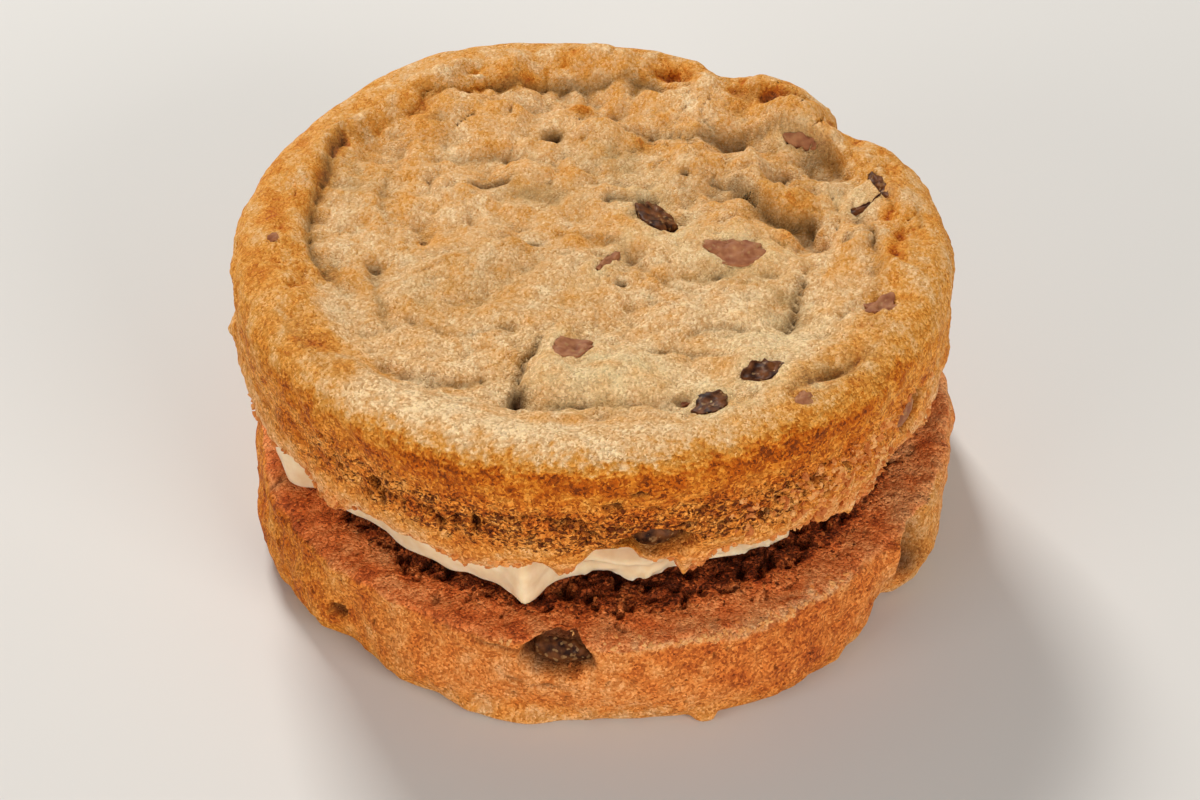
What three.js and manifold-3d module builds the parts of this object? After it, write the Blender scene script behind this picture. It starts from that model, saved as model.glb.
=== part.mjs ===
// An ice cream sandwich: two thick chocolate chip cookies, base to base, round a slab of vanilla ice cream.
// Millimetres, +Z up, the front faces -Y. The origin is on the floor under the middle of the sandwich.
// The lower cookie lies upside down, so its rim is underneath. The upper cookie leans back a little.
import * as THREE from "three";
import { ImprovedNoise } from "three/addons/math/ImprovedNoise.js";
import { mergeVertices } from "three/addons/utils/BufferGeometryUtils.js";
import Module from "manifold-3d";

const wasm = await Module();
wasm.setup();

// ---- Driving dimensions --------------------------------------------------------------------------------
const UPPER = {
  radius: 41.7, // at the widest, just under the rim
  baseRadius: 40.8,
  thickness: 16.4, // from the flat base to the crest of the rim
  widestAt: 12.2,
  crest: 37.4, // radius of the rim's crest
  squareness: 0.62, // of the shoulder between crest and side, from 0 to 1
  sink: 1.9, // how far the baked face lies below the crest
  pressed: 0, // how much of its crest is pressed flat by the weight it carries
  detail: 17, // subdivisions of the ball of equal triangles that the cookie is pressed from
  faceShare: 0.58, // of those triangles, for the baked face inside the crest
  sideShare: 0.3, // for the shoulder and the side, and the flat base has the rest
  pattern: 2.4, // any number, which picks this cookie's own unevenness
};
const LOWER = {
  radius: 42.1,
  baseRadius: 41.2,
  thickness: 12.6,
  widestAt: 7.2,
  crest: 37.4,
  squareness: 0.76,
  sink: 1.8,
  pressed: 0.3,
  detail: 12,
  faceShare: 0.44,
  sideShare: 0.4,
  pattern: 7.9,
};
const CREAM = { thickness: 9.3, bulge: 0.6, detail: 8 };
const GAP = 0.3; // clearance between the slab and each cookie
const RIM_FOOT = 7; // from the crest in to the foot of the rim
const BASE_CORNER = 1.2; // radius of the corner between a cookie's side and its base
const CHIP_HEIGHT = 3.2; // of a baked chip, most of it sunk in the dough
const HOLE_DEPTH = 2.2; // how far the hole round a chip in a side goes in
const CHIP_BACK = 0.9; // how far that chip lies back from the side
const PORE_DEPTH = 0.5; // of the pores in a cookie's flat base
const PORES_FROM = 0.7; // the share of a base's radius where its pores begin, because no more of it shows
const RELIEF_ON_RIM = 0.45; // the share of the baked face's relief that runs on over the rim
const NOTCH_FADE = [0.15, 0.75]; // the shares of the thickness between which a rim's notch deepens
const CRUMB_FADE = [0.35, 0.75]; // and between which the crumbly lower side turns smoother
const CREAM_FACE_SHARE = 0.3; // of the triangles, for each of the slab's two flat sides
const LEAN = -1.5; // degrees about X: the front of the upper cookie is the higher
const UPPER_AT = [-0.5, -0.28]; // the middle of each piece, from the middle of the whole
const LOWER_AT = [0.8, -0.28];
const CREAM_AT = [0.5, -0.28];

// ---- The upper cookie's baked face, in its own frame ----------------------------------------------------
// Lumps are [x, y, half length, half width, turn in degrees, rise]. A hollow has a rise below zero.
const UPPER_LUMPS = [
  [-20, 31, 10, 5, -32, 0.9],
  [-13, 27, 6.5, 4, 15, 0.9],
  [-8, 35, 2.4, 1.8, 0, 0.8],
  [-1, 34.5, 2.2, 1.6, 60, 0.8],
  [4, 33, 2.2, 1.8, 90, 0.8],
  [13, 26, 6, 3.8, -38, 1.6],
  [24, 25.5, 7, 3.2, -40, 1.7],
  [8, 18.5, 3.4, 1.4, 105, 0.7],
  [18, 15.5, 3.6, 2.2, 110, 1.0],
  [22.5, 9, 4, 2.2, -25, 1.0],
  [27, 17, 3.4, 2.2, -35, -0.8],
  [31, 4, 2, 4.5, 0, 0.5],
  [2, -26, 9, 4.2, 8, 1.1],
  [19, -23.5, 4.5, 3.2, 35, 0.8],
  [12.5, -28.5, 3.6, 3, 0, 0.7],
  [5, -8, 19, 9, 10, 0.5],
  [-15, -4, 9, 6, 0, 0.3],
  [-29, -24, 6, 1.8, -40, 0.7],
  [-9, 10, 8, 3.2, -22, -0.7],
  [-2, 14, 5, 3, 20, 0.3],
  [-25, 18, 5, 4, 60, -0.4],
  [15.5, -5, 5, 2.4, 20, -0.7],
  [23, -8, 3, 4, 10, -0.4],
  [33, 10, 2.4, 3.2, 20, -0.9],
  [32.8, -11.8, 2.8, 2.2, 15, -0.8],
  [-12.3, 13.4, 1.9, 1.1, 5, -1.1],
  [-4.9, 21.9, 1.7, 1.3, 35, -1.2],
  [8, 8.5, 3.2, 2.6, -60, -0.9],
];
// Creases are {path, deep, wide}: a groove along a smooth line through the points of the path.
const UPPER_CREASES = [
  { path: [[-30, 20.2], [-31, 15], [-32.6, 8], [-32.8, 3.5], [-30.2, -5.8]], deep: 1.6, wide: 1.2 },
  { path: [[-36.5, -8], [-33.7, -15.9], [-30.8, -20.4], [-26.8, -25.4]], deep: 0.9, wide: 1.5 },
  { path: [[-25.1, -5], [-24.9, -8], [-23.8, -12.6]], deep: 0.6, wide: 1.3 },
  { path: [[-23.2, -22.1], [-20.1, -23.8], [-16.9, -25.4], [-11.8, -24.3]], deep: 0.6, wide: 1.2 },
  { path: [[-7.9, -29.6], [-3.4, -30.6], [1, -30.4], [6.5, -30.9], [11.9, -33]], deep: 1.0, wide: 1.3 },
  { path: [[-5.6, -17.6], [-7.2, -20.5], [-7.7, -23.4], [-8.2, -26.1], [-7.9, -29.5]], deep: 1.5, wide: 1.0 },
  { path: [[22.5, -26.9], [26.5, -24.6], [31, -21.8]], deep: 1.2, wide: 1.2 },
  { path: [[24.2, -7.2], [23.5, -10.4], [22, -14.7]], deep: 1.4, wide: 1.0 },
  { path: [[-12.5, 31.6], [-8.8, 32.4], [-3.9, 32.7], [0.8, 32.3], [8.3, 31.4]], deep: 1.2, wide: 1.2 },
  { path: [[2, 9.6], [4.6, 9.4], [7.6, 10]], deep: 1.1, wide: 1.0 },
  { path: [[8, 22.6], [11.4, 21.6], [20.2, 21.5], [27.1, 18.2], [29.2, 15.2]], deep: 1.4, wide: 1.2 },
  { path: [[16, 11.9], [19.1, 8.2], [21.7, 5], [25.2, 4.2]], deep: 1.1, wide: 1.2 },
  { path: [[17.9, 29.2], [20.3, 27.2], [23.3, 26.4], [27, 26.1]], deep: 1.1, wide: 1.1 },
];
// Chips are [x, y, length, width, turn in degrees, height above the dough].
const UPPER_CHIPS = [
  [13.2, -29.6, 4.6, 3.8, 20, 0.7],
  [19.1, -24.6, 5.0, 2.8, 22, 0.6],
  [-2.1, -20.0, 4.6, 3.0, 6, 0.6],
  [16.6, -1.9, 7.0, 3.0, -6, 0.8],
  [7.7, 6.0, 6.2, 3.8, -66, 0.9],
  [1.9, -2.8, 6.2, 1.5, 64, 0.4],
  [33.4, 9.4, 5.6, 2.4, 105, 0.6],
  [32.8, -12.3, 4.3, 2.8, -8, 0.6],
  [25.0, 19.4, 4.6, 2.0, -14, 0.8],
  [23.6, -29.4, 2.8, 1.9, 60, 0.5],
  [-36.7, -1.6, 2.2, 1.5, 60, 0.4],
];

// ---- The rims and sides ---------------------------------------------------------------------------------
// Where a rim folds in on itself it leaves a sharp notch: [angle in degrees, depth, half width in degrees].
const UPPER_NOTCHES = [
  [64.5, 3.9, 6],
  [36, 3.3, 6],
];
const LOWER_NOTCHES = [
  [-135, 2.6, 4],
  [-34, 3.4, 6],
  [58, 2.2, 6],
];
// Bulges and dents of a side are [angle in degrees, height above the base, half arc, half height, rise].
const UPPER_BULGES = [
  [122, 12.5, 20, 6, 2.0],
  [-177, 2, 12, 5, 0.9],
  [-6, 1.5, 15, 5, 0.7],
  [52, 11, 7, 5, 1.0],
  [18, 11, 9, 5, 0.4],
  [-175, 4.5, 1.4, 1.2, 0.9],
  [-58, 4, 5, 2, 0.4],
  [-126, 7.3, 1.6, 1.3, -0.9],
  [-96, 7.6, 2.4, 1.0, -0.7],
  [-116, 5.4, 3.4, 1.2, -0.7],
  [-80, 0, 7, 1.6, -1.0],
];
const LOWER_BULGES = [
  [-158, 4, 8, 6, 0.5],
  [0, 1.5, 13, 4, 0.9],
  [-20, 8, 13, 5, -0.6],
  [-60, 10, 10, 5, 0.7],
  [-93, 11, 11, 4, -0.8],
  [-121, 11, 8, 4, 0.7],
  [-141, 9, 4, 4, 0.9],
  [-25, 7.5, 5, 3.6, 1.2],
  [-31, 2.4, 1.8, 2.6, -1.2],
  [-101, 12, 6, 1.2, 0.8],
  [20, 8, 9, 4, 0.8],
  [-170, 6, 7, 5, -0.7],
];
// A chip that broke through a side lies back in an eye-shaped hole:
// [angle in degrees, height above the base, length of the hole, height of the hole].
const UPPER_SIDE_CHIPS = [
  [-79, 2.5, 9.0, 3.4],
  [-27, 6.4, 6.4, 4.2],
  [118, 5.5, 6.0, 3.4],
];
const LOWER_SIDE_CHIPS = [
  [-97.6, 2.5, 8.4, 3.8],
  [74, 6.5, 6.2, 3.6],
];

// ---- The ice cream's outline, [angle in degrees, radius], round its own middle --------------------------
const CREAM_OUTLINE = [
  [-174, 39.4],
  [-162, 39.6],
  [-151, 35.8],
  [-133, 34.1],
  [-118, 34.8],
  [-102, 37.4],
  [-94, 31.6],
  [-72, 31.7],
  [-49, 32.8],
  [-32, 28.5],
  [-4, 27.5],
  [32, 30.5],
  [70, 32.5],
  [104, 30.6],
  [140, 33.6],
  [166, 33.4],
];

const DEG = THREE.MathUtils.DEG2RAD;
const { clamp, lerp, smoothstep } = THREE.MathUtils;
const perlin = new ImprovedNoise();

// Unevenness, each layer made of swells {size, rise} in mm. A different `layer` gives a different pattern.
const FACE_SWELLS = [
  { size: 9, rise: 0.55 },
  { size: 4.5, rise: 0.35 },
  { size: 2.4, rise: 0.15 },
];
const RIM_SWELLS = [
  { size: 14, rise: 0.6 },
  { size: 7, rise: 0.3 },
];
const SIDE_SWELLS = [
  { size: 24, rise: 0.7 },
  { size: 12, rise: 0.35 },
];
const CRUMB_SWELLS = [
  { size: 3.2, rise: 0.55 },
  { size: 1.6, rise: 0.27 },
];
const CREAM_SWELLS = [
  { size: 6, rise: 0.45 },
  { size: 3, rise: 0.2 },
];

function swell(swells, x, y, z, layer) {
  let sum = 0;
  for (const { size, rise } of swells) sum += rise * perlin.noise(x / size, y / size, z / size + layer);
  return sum;
}

// The smallest turn from one angle to another, in degrees.
const between = (a, b) => ((((a - b) % 360) + 540) % 360) - 180;

// ---- Relief ---------------------------------------------------------------------------------------------
function lumpAt([x, y, halfLength, halfWidth, turn, rise], px, py) {
  const along = (px - x) * Math.cos(turn * DEG) + (py - y) * Math.sin(turn * DEG);
  const across = (py - y) * Math.cos(turn * DEG) - (px - x) * Math.sin(turn * DEG);
  return rise * Math.exp(-((along / halfLength) ** 2) - (across / halfWidth) ** 2);
}

// Turns the points of a crease's path into a smooth line of short steps.
function drawn({ path, deep, wide }) {
  const line = new THREE.SplineCurve(path.map(([x, y]) => new THREE.Vector2(x, y)));
  return { steps: line.getSpacedPoints(30), deep, wide };
}

function creaseAt({ steps, deep, wide }, px, py) {
  const nearest = Math.min(...steps.map((p) => Math.hypot(p.x - px, p.y - py)));
  return -deep * Math.exp(-((nearest / wide) ** 2));
}

// The height of the baked face, its rim included, over the base.
function faceHeight(cookie, x, y) {
  const { lumps, creases, pattern, crest, thickness, sink } = cookie;
  const rim = smoothstep(Math.hypot(x, y), crest - RIM_FOOT, crest - 0.5);
  let relief = swell(FACE_SWELLS, x, y, 0, pattern);
  for (const lump of lumps) relief += lumpAt(lump, x, y);
  for (const crease of creases) relief += creaseAt(crease, x, y);
  const waves = rim * swell(RIM_SWELLS, x, y, 0, pattern + 10);
  return thickness - sink * (1 - rim) + waves + relief * lerp(1, RELIEF_ON_RIM, rim);
}

// How far the side stands out from its smooth profile, at an angle in degrees and a height above the base.
function sideRelief(cookie, angle, height) {
  const { radius, notches, bulges, pattern, thickness } = cookie;
  const x = radius * Math.cos(angle * DEG);
  const y = radius * Math.sin(angle * DEG);
  const crumbly = lerp(1, 0.4, smoothstep(height / thickness, ...CRUMB_FADE));
  const nearRim = smoothstep(height / thickness, ...NOTCH_FADE);
  let out = swell(SIDE_SWELLS, x, y, 0, pattern + 20);
  out += crumbly * swell(CRUMB_SWELLS, x, y, height, pattern + 30);
  for (const [at, deep, half] of notches) {
    out -= deep * nearRim * Math.exp(-Math.abs(between(angle, at)) / half);
  }
  for (const [at, level, halfArc, halfHeight, rise] of bulges) {
    const arc = between(angle, at) * DEG * radius;
    out += rise * Math.exp(-((arc / halfArc) ** 2) - ((height - level) / halfHeight) ** 2);
  }
  return out;
}

// The pores of the flat base, which only sink in.
function baseRelief(cookie, x, y) {
  return clamp(PORE_DEPTH / 4 + swell(CRUMB_SWELLS, x, y, 0, cookie.pattern + 40), 0, PORE_DEPTH);
}

// ---- Shaping a ball of equal triangles ------------------------------------------------------------------
// place(share, angle) gives the point that lies below `share` of the ball's surface, counted from its top.
function shaped(detail, place) {
  const ball = new THREE.IcosahedronGeometry(1, detail);
  ball.deleteAttribute("normal");
  ball.deleteAttribute("uv");
  const merged = mergeVertices(ball, 1e-4);
  const points = merged.getAttribute("position");
  const at = new THREE.Vector3();
  for (let i = 0; i < points.count; i++) {
    at.fromBufferAttribute(points, i).normalize();
    const made = place((1 - at.z) / 2, Math.atan2(at.y, at.x) / DEG);
    points.setXYZ(i, made.x, made.y, made.z);
  }
  return merged;
}

const polar = (radius, angle, z) =>
  new THREE.Vector3(radius * Math.cos(angle * DEG), radius * Math.sin(angle * DEG), z);

// The half section of the rim's shoulder and side, from the crest down to the base.
function sideProfile({ crest, radius, baseRadius, thickness, widestAt, squareness }) {
  const point = (r, z) => new THREE.Vector2(r, z);
  const profile = new THREE.CurvePath();
  const shoulder = thickness - widestAt;
  profile.add(
    new THREE.CubicBezierCurve(
      point(crest, thickness),
      point(lerp(crest, radius, squareness), thickness),
      point(radius, widestAt + squareness * shoulder),
      point(radius, widestAt),
    ),
  );
  profile.add(new THREE.LineCurve(point(radius, widestAt), point(baseRadius, BASE_CORNER)));
  profile.add(
    new THREE.QuadraticBezierCurve(
      point(baseRadius, BASE_CORNER),
      point(baseRadius, 0),
      point(baseRadius - BASE_CORNER, 0),
    ),
  );
  return profile;
}

// A point of the dough once the crest of the rim is pressed flat, at the cookie's full thickness.
function flattened({ thickness, pressed: lost }, at) {
  if (lost > 0) at.z = Math.min(at.z + lost * smoothstep(at.z, 0.5 * thickness, thickness), thickness);
  return at;
}

// The dough of one cookie, baked face up, its base on z = 0.
function doughGeometry(cookie) {
  const { crest, thickness, faceShare, sideShare } = cookie;
  const profile = sideProfile(cookie);
  const onFace = (share, angle) => {
    const outwards = Math.sqrt(share / faceShare);
    const radius = outwards * (crest + outwards * sideRelief(cookie, angle, thickness));
    const at = polar(radius, angle, 0);
    return at.setZ(faceHeight(cookie, at.x, at.y));
  };
  const onSide = (share, angle) => {
    const along = clamp((share - faceShare) / sideShare, 0, 1);
    const { x: radius, y: height } = profile.getPointAt(along);
    const out = sideRelief(cookie, angle, height);
    const crown = onFace(faceShare, angle).z - thickness;
    const lift = crown * smoothstep(height, 0.6 * thickness, thickness);
    return polar(radius + out, angle, height + lift);
  };
  const onBase = (share, angle) => {
    const edge = onSide(faceShare + sideShare, angle);
    const inwards = Math.sqrt((1 - share) / (1 - faceShare - sideShare));
    const at = polar(Math.hypot(edge.x, edge.y) * inwards, angle, 0);
    const shows = smoothstep(1 - inwards, 0, 0.06) * smoothstep(inwards, PORES_FROM - 0.1, PORES_FROM);
    return at.setZ(shows * baseRelief(cookie, at.x, at.y));
  };
  return shaped(cookie.detail, (share, angle) => {
    const region = share < faceShare ? onFace : share < faceShare + sideShare ? onSide : onBase;
    return flattened(cookie, region(share, angle));
  });
}

// ---- Joining and cutting with manifold-3d ---------------------------------------------------------------
function solid(geometry) {
  const bare = geometry.clone();
  bare.deleteAttribute("normal");
  bare.deleteAttribute("uv");
  const merged = mergeVertices(bare, 1e-4);
  return new wasm.Manifold(
    new wasm.Mesh({
      numProp: 3,
      vertProperties: merged.getAttribute("position").array,
      triVerts: new Uint32Array(merged.index.array),
    }),
  );
}

function geometryOf(manifold) {
  const { vertProperties, triVerts } = manifold.getMesh();
  const geometry = new THREE.BufferGeometry();
  geometry.setAttribute("position", new THREE.BufferAttribute(vertProperties, 3));
  geometry.setIndex(new THREE.BufferAttribute(triVerts, 1));
  geometry.computeVertexNormals();
  return geometry;
}

// A rounded morsel, `size` across each way, its length along X before it is turned and moved to `at`.
function morsel(size, turn, at) {
  const geometry = new THREE.IcosahedronGeometry(0.5, 1);
  geometry.scale(...size);
  geometry.applyMatrix4(new THREE.Matrix4().makeRotationFromEuler(turn));
  geometry.translate(at.x, at.y, at.z);
  return solid(geometry);
}

// Chips in the baked face, which stand a little proud of the dough but never reach the floor.
function faceChips(cookie) {
  return cookie.chips.map(([x, y, length, width, turn, proud]) => {
    const dough = flattened(cookie, new THREE.Vector3(x, y, faceHeight(cookie, x, y))).z;
    const top = cookie.pressed ? Math.min(dough + proud, cookie.thickness - GAP) : dough + proud;
    const euler = new THREE.Euler(0, 0, turn * DEG);
    return morsel([length, width, CHIP_HEIGHT], euler, new THREE.Vector3(x, y, top - CHIP_HEIGHT / 2));
  });
}

// The hole that a chip left in a side, and the chip inside it.
function sideChip(cookie, [angle, height, length, tall]) {
  const smooth = lerp(cookie.baseRadius, cookie.radius, height / cookie.widestAt);
  const radius = smooth + sideRelief(cookie, angle, height);
  const inside = radius - CHIP_BACK - HOLE_DEPTH;
  const euler = new THREE.Euler(0, 0, (angle + 90) * DEG);
  return {
    hole: morsel([length, 2 * HOLE_DEPTH, tall], euler, polar(radius, angle, height)),
    chip: morsel([0.8 * length, 2 * HOLE_DEPTH, 0.95 * tall], euler, polar(inside, angle, height)),
  };
}

function cookieGeometry(cookie) {
  let body = solid(doughGeometry(cookie));
  for (const chip of faceChips(cookie)) body = body.add(chip);
  for (const place of cookie.sideChips) {
    const { hole, chip } = sideChip(cookie, place);
    body = body.subtract(hole).add(chip);
  }
  return geometryOf(body);
}

// ---- The hidden baked face of the lower cookie, lumpy like the upper one --------------------------------
const LOWER_FACE_LUMPS = 14;
const LOWER_FACE_CHIPS = 7;
const GOLDEN_TURN = 137.5; // degrees between one piece and the next, which spreads them evenly

// `count` rows spread over the face by the golden angle, each made by row(x, y, random number, index).
function scattered(count, reach, firstAngle, row) {
  return Array.from({ length: count }, (_, i) => {
    const at = polar(reach * Math.sqrt((i + 0.5) / count), firstAngle + GOLDEN_TURN * i, 0);
    return row(at.x, at.y, THREE.MathUtils.seededRandom(i + 1), i);
  });
}

const lowerLumps = scattered(LOWER_FACE_LUMPS, 31, 0, (x, y, random, i) => {
  const rise = i % 3 ? lerp(0.4, 0.9, random) : -0.8;
  return [x, y, lerp(3.5, 7, random), lerp(2.2, 3.8, random), random * 180, rise];
});
const lowerChips = scattered(LOWER_FACE_CHIPS, 27, 50, (x, y, random) => {
  return [x, y, lerp(4, 6, random), lerp(2.6, 3.6, random), random * 180, 0.6];
});

// ---- The slab of ice cream ------------------------------------------------------------------------------
// The radius of the outline at an angle, on a smooth closed curve through the named points.
function creamRadius(angle) {
  const [[firstAngle, firstRadius]] = CREAM_OUTLINE;
  const closed = [...CREAM_OUTLINE, [firstAngle + 360, firstRadius]];
  const turned = angle < firstAngle ? angle + 360 : angle;
  const next = closed.findIndex(([at]) => at > turned);
  const [[fromAngle, fromRadius], [toAngle, toRadius]] = [closed[next - 1], closed[next]];
  return lerp(fromRadius, toRadius, smoothstep(turned, fromAngle, toAngle));
}

// The slab lies on z = 0. Its upper side follows the lean of the upper cookie's base.
function creamGeometry() {
  const topAt = (y) => CREAM.thickness + y * Math.tan(LEAN * DEG);
  return shaped(CREAM.detail, (share, angle) => {
    const edge = creamRadius(angle);
    if (share < CREAM_FACE_SHARE) {
      const at = polar(edge * Math.sqrt(share / CREAM_FACE_SHARE), angle, 0);
      return at.setZ(topAt(at.y));
    }
    if (share > 1 - CREAM_FACE_SHARE) {
      return polar(edge * Math.sqrt((1 - share) / CREAM_FACE_SHARE), angle, 0);
    }
    const down = (share - CREAM_FACE_SHARE) / (1 - 2 * CREAM_FACE_SHARE);
    const belly = Math.sin(down * Math.PI);
    const at = polar(edge, angle, CREAM.thickness * (1 - down));
    const out = belly * (CREAM.bulge + swell(CREAM_SWELLS, at.x, at.y, at.z, 0));
    const made = polar(edge + out, angle, 0);
    return made.setZ(topAt(made.y) * (1 - down));
  });
}

// ---- The sandwich ---------------------------------------------------------------------------------------
const DOUGH = new THREE.MeshStandardMaterial({ color: 0xd09a58, roughness: 0.85, metalness: 0 });
const DOUGH_BASE = new THREE.MeshStandardMaterial({ color: 0xc07d45, roughness: 0.9, metalness: 0 });
const VANILLA = new THREE.MeshStandardMaterial({ color: 0xf1e6cf, roughness: 0.45, metalness: 0 });

const upper = {
  ...UPPER,
  lumps: UPPER_LUMPS,
  creases: UPPER_CREASES.map(drawn),
  chips: UPPER_CHIPS,
  notches: UPPER_NOTCHES,
  bulges: UPPER_BULGES,
  sideChips: UPPER_SIDE_CHIPS,
};
// The lower cookie is turned over about X, which changes the sign of its angles.
const turnedOver = (rows) => rows.map(([angle, ...rest]) => [-angle, ...rest]);
const lower = {
  ...LOWER,
  lumps: lowerLumps,
  creases: [],
  chips: lowerChips,
  notches: turnedOver(LOWER_NOTCHES),
  bulges: turnedOver(LOWER_BULGES),
  sideChips: turnedOver(LOWER_SIDE_CHIPS),
};

function named(name, geometry, material, at, turn = 0) {
  const mesh = new THREE.Mesh(geometry, material);
  mesh.name = name;
  mesh.position.set(...at);
  mesh.rotation.x = turn;
  return mesh;
}

const sandwich = new THREE.Group();
const creamZ = LOWER.thickness + GAP;
const upperZ = creamZ + CREAM.thickness + GAP;
sandwich.add(
  named("lower_cookie", cookieGeometry(lower), DOUGH_BASE, [...LOWER_AT, LOWER.thickness], Math.PI),
  named("ice_cream", creamGeometry(), VANILLA, [...CREAM_AT, creamZ]),
  named("upper_cookie", cookieGeometry(upper), DOUGH, [...UPPER_AT, upperZ], LEAN * DEG),
);

export default sandwich;
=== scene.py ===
# %% [markdown]
# # A chocolate chip cookie ice cream sandwich
#
# Two thick cookies, baked in a mould, lie base to base round a slab of vanilla ice cream. The baked face of each
# cookie is sunk inside a raised rim, like a shallow dish. The upper cookie shows that face, lumpy and creased, with
# chocolate chips in it. The lower cookie lies upside down, so its flat, open-pored base faces up.
#
# The imported solids give every size and place, so this lesson starts from them. Each cookie is then modelled the way
# a sculptor would: a rough blank by hand, a fine even skin of small faces, and tool strokes for creases, pits and
# pores. Colour comes last. It follows how the oven browns dough, and it also carries painted shade in creases,
# pores and hollows, and painted light along the front.

# %% Load the frame
import math
import random

import bmesh
import bpy
import numpy as np
from mathutils import Matrix, Vector, noise
from mathutils.bvhtree import BVHTree


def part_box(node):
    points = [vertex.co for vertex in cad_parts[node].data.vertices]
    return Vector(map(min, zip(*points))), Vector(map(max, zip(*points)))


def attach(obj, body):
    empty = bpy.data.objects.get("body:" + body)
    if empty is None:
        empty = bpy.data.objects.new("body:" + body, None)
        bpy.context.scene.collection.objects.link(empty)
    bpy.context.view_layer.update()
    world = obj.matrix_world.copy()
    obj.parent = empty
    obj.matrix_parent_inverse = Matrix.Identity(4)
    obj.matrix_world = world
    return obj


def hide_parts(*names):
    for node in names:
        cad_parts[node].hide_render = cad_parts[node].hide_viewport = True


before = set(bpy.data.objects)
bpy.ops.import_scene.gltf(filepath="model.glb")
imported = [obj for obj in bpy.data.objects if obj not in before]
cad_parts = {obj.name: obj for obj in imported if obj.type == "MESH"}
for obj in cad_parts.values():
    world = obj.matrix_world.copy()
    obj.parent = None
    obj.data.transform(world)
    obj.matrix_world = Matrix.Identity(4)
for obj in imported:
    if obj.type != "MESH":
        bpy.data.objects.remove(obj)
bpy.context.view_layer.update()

# %% [markdown]
# ## Sizes
#
# The pieces keep the sizes that their solids were drawn with, in millimetres. Blender works in metres, so one value
# turns one into the other. The upper cookie leans back by a degree and a half, so most of its features are easier to
# give in its own frame: the middle of its flat base, with its own up.

# %% Sizes, in millimetres
MM = 0.001
LOWER_THICK = 12.6
CREAM_THICK = 9.3
GAP = 0.3
UPPER_RADIUS = 41.4
LOWER_RADIUS = 41.5
LEAN = math.radians(-1.5)
MIDDLE = np.array([0.5, -0.28, 0.0])
LOWER_MIDDLE = np.array([0.8, -0.28, 0.0])
UPPER_ORIGIN = np.array([-0.5, -0.28, LOWER_THICK + GAP + CREAM_THICK + GAP])
UPPER_TURN = np.array(Matrix.Rotation(LEAN, 3, "X"))


def to_upper(points):
    return (points - UPPER_ORIGIN) @ UPPER_TURN


def from_upper(points):
    return points @ UPPER_TURN.T + UPPER_ORIGIN


print("the upper cookie's base is", UPPER_ORIGIN[2], "mm above the floor")

# %% [markdown]
# ## Camera, floor and light
#
# The camera looks down at 40 degrees from in front, far enough away that the round cookies keep their shape, with a
# lens as long as that distance asks for. The key light stands behind and a little to the left, so each lump throws a
# short shadow towards the camera. Two wider ones, low in front on the left and the right, keep those shadows soft.

# %% Camera
CAMERA_DISTANCE = 450 * MM
CAMERA_RISE = math.radians(40)
AIM_DROP = math.radians(0.605)
LENS = 113.7

camera_data = bpy.data.cameras.new("camera")
camera_data.lens = LENS
camera_data.sensor_width = 36
camera_data.clip_start = 0.01
camera = bpy.data.objects.new("camera", camera_data)
bpy.context.scene.collection.objects.link(camera)
target = Vector((MIDDLE[0], MIDDLE[1], 20)) * MM
camera.location = target + CAMERA_DISTANCE * Vector((0, -math.cos(CAMERA_RISE), math.sin(CAMERA_RISE)))
camera.rotation_euler = (math.pi / 2 - CAMERA_RISE - AIM_DROP, 0, 0)
bpy.context.scene.camera = camera
print("camera at", [round(1000 * c) for c in camera.location], "mm")


# %% Small helpers for modelling
def only(piece):
    bpy.ops.object.select_all(action="DESELECT")
    piece.select_set(True)
    bpy.context.view_layer.objects.active = piece


def finished_with(piece, kind, **settings):
    only(piece)
    modifier = piece.modifiers.new(kind, kind)
    for name, value in settings.items():
        setattr(modifier, name, value)
    bpy.ops.object.modifier_apply(modifier=modifier.name)
    return piece


def linear(hex_colour):
    channels = [int(hex_colour[i : i + 2], 16) / 255 for i in (1, 3, 5)]
    return [c / 12.92 if c <= 0.04045 else ((c + 0.055) / 1.055) ** 2.4 for c in channels] + [1.0]


def add_node(tree, kind, links=(), **settings):
    made = tree.nodes.new(kind)
    for name, value in settings.items():
        if name in made.inputs:
            made.inputs[name].default_value = value
        else:
            setattr(made, name, value)
    for socket, source in dict(links).items():
        tree.links.new(source, made.inputs[socket])
    return made


# %% Floor and lights
bpy.ops.mesh.primitive_plane_add(size=3, location=(0, 0, 0))
floor = bpy.context.object
floor.name = "floor"
floor_finish = bpy.data.materials.new("pale_floor")
floor_finish.use_nodes = True
floor_shader = floor_finish.node_tree.nodes["Principled BSDF"]
floor_shader.inputs["Base Color"].default_value = linear("#D9D8D5")
floor_shader.inputs["Roughness"].default_value = 0.8
floor.data.materials.append(floor_finish)

# Lights are a name, watts, size in metres, azimuth and rise in degrees, and colour.
LIGHTS = [
    ("key", 6.7, 0.22, 112, 42, (1.0, 0.97, 0.93)),
    ("fill", 3.0, 0.5, -138, 17, (1.0, 0.96, 0.92)),
    ("front", 4.6, 0.5, -52, 21, (1.0, 0.96, 0.92)),
]
LIGHT_DISTANCE = 0.9
for name, watts, size, azimuth, rise, colour in LIGHTS:
    data = bpy.data.lights.new(name, "AREA")
    data.energy, data.size, data.color = watts, size, colour
    light = bpy.data.objects.new(name, data)
    bpy.context.scene.collection.objects.link(light)
    around, up = math.radians(azimuth), math.radians(rise)
    away = Vector((math.cos(around) * math.cos(up), math.sin(around) * math.cos(up), math.sin(up)))
    light.location = target + LIGHT_DISTANCE * away
    light.rotation_euler = away.to_track_quat("Z", "Y").to_euler()
world = bpy.data.worlds.new("studio")
world.use_nodes = True
world.node_tree.nodes["Background"].inputs["Color"].default_value = (1.0, 0.98, 0.95, 1.0)
world.node_tree.nodes["Background"].inputs["Strength"].default_value = 0.24
bpy.context.scene.world = world
bpy.context.scene.view_settings.view_transform = "Standard"
print("floor, three lights and a studio sky")

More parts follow.
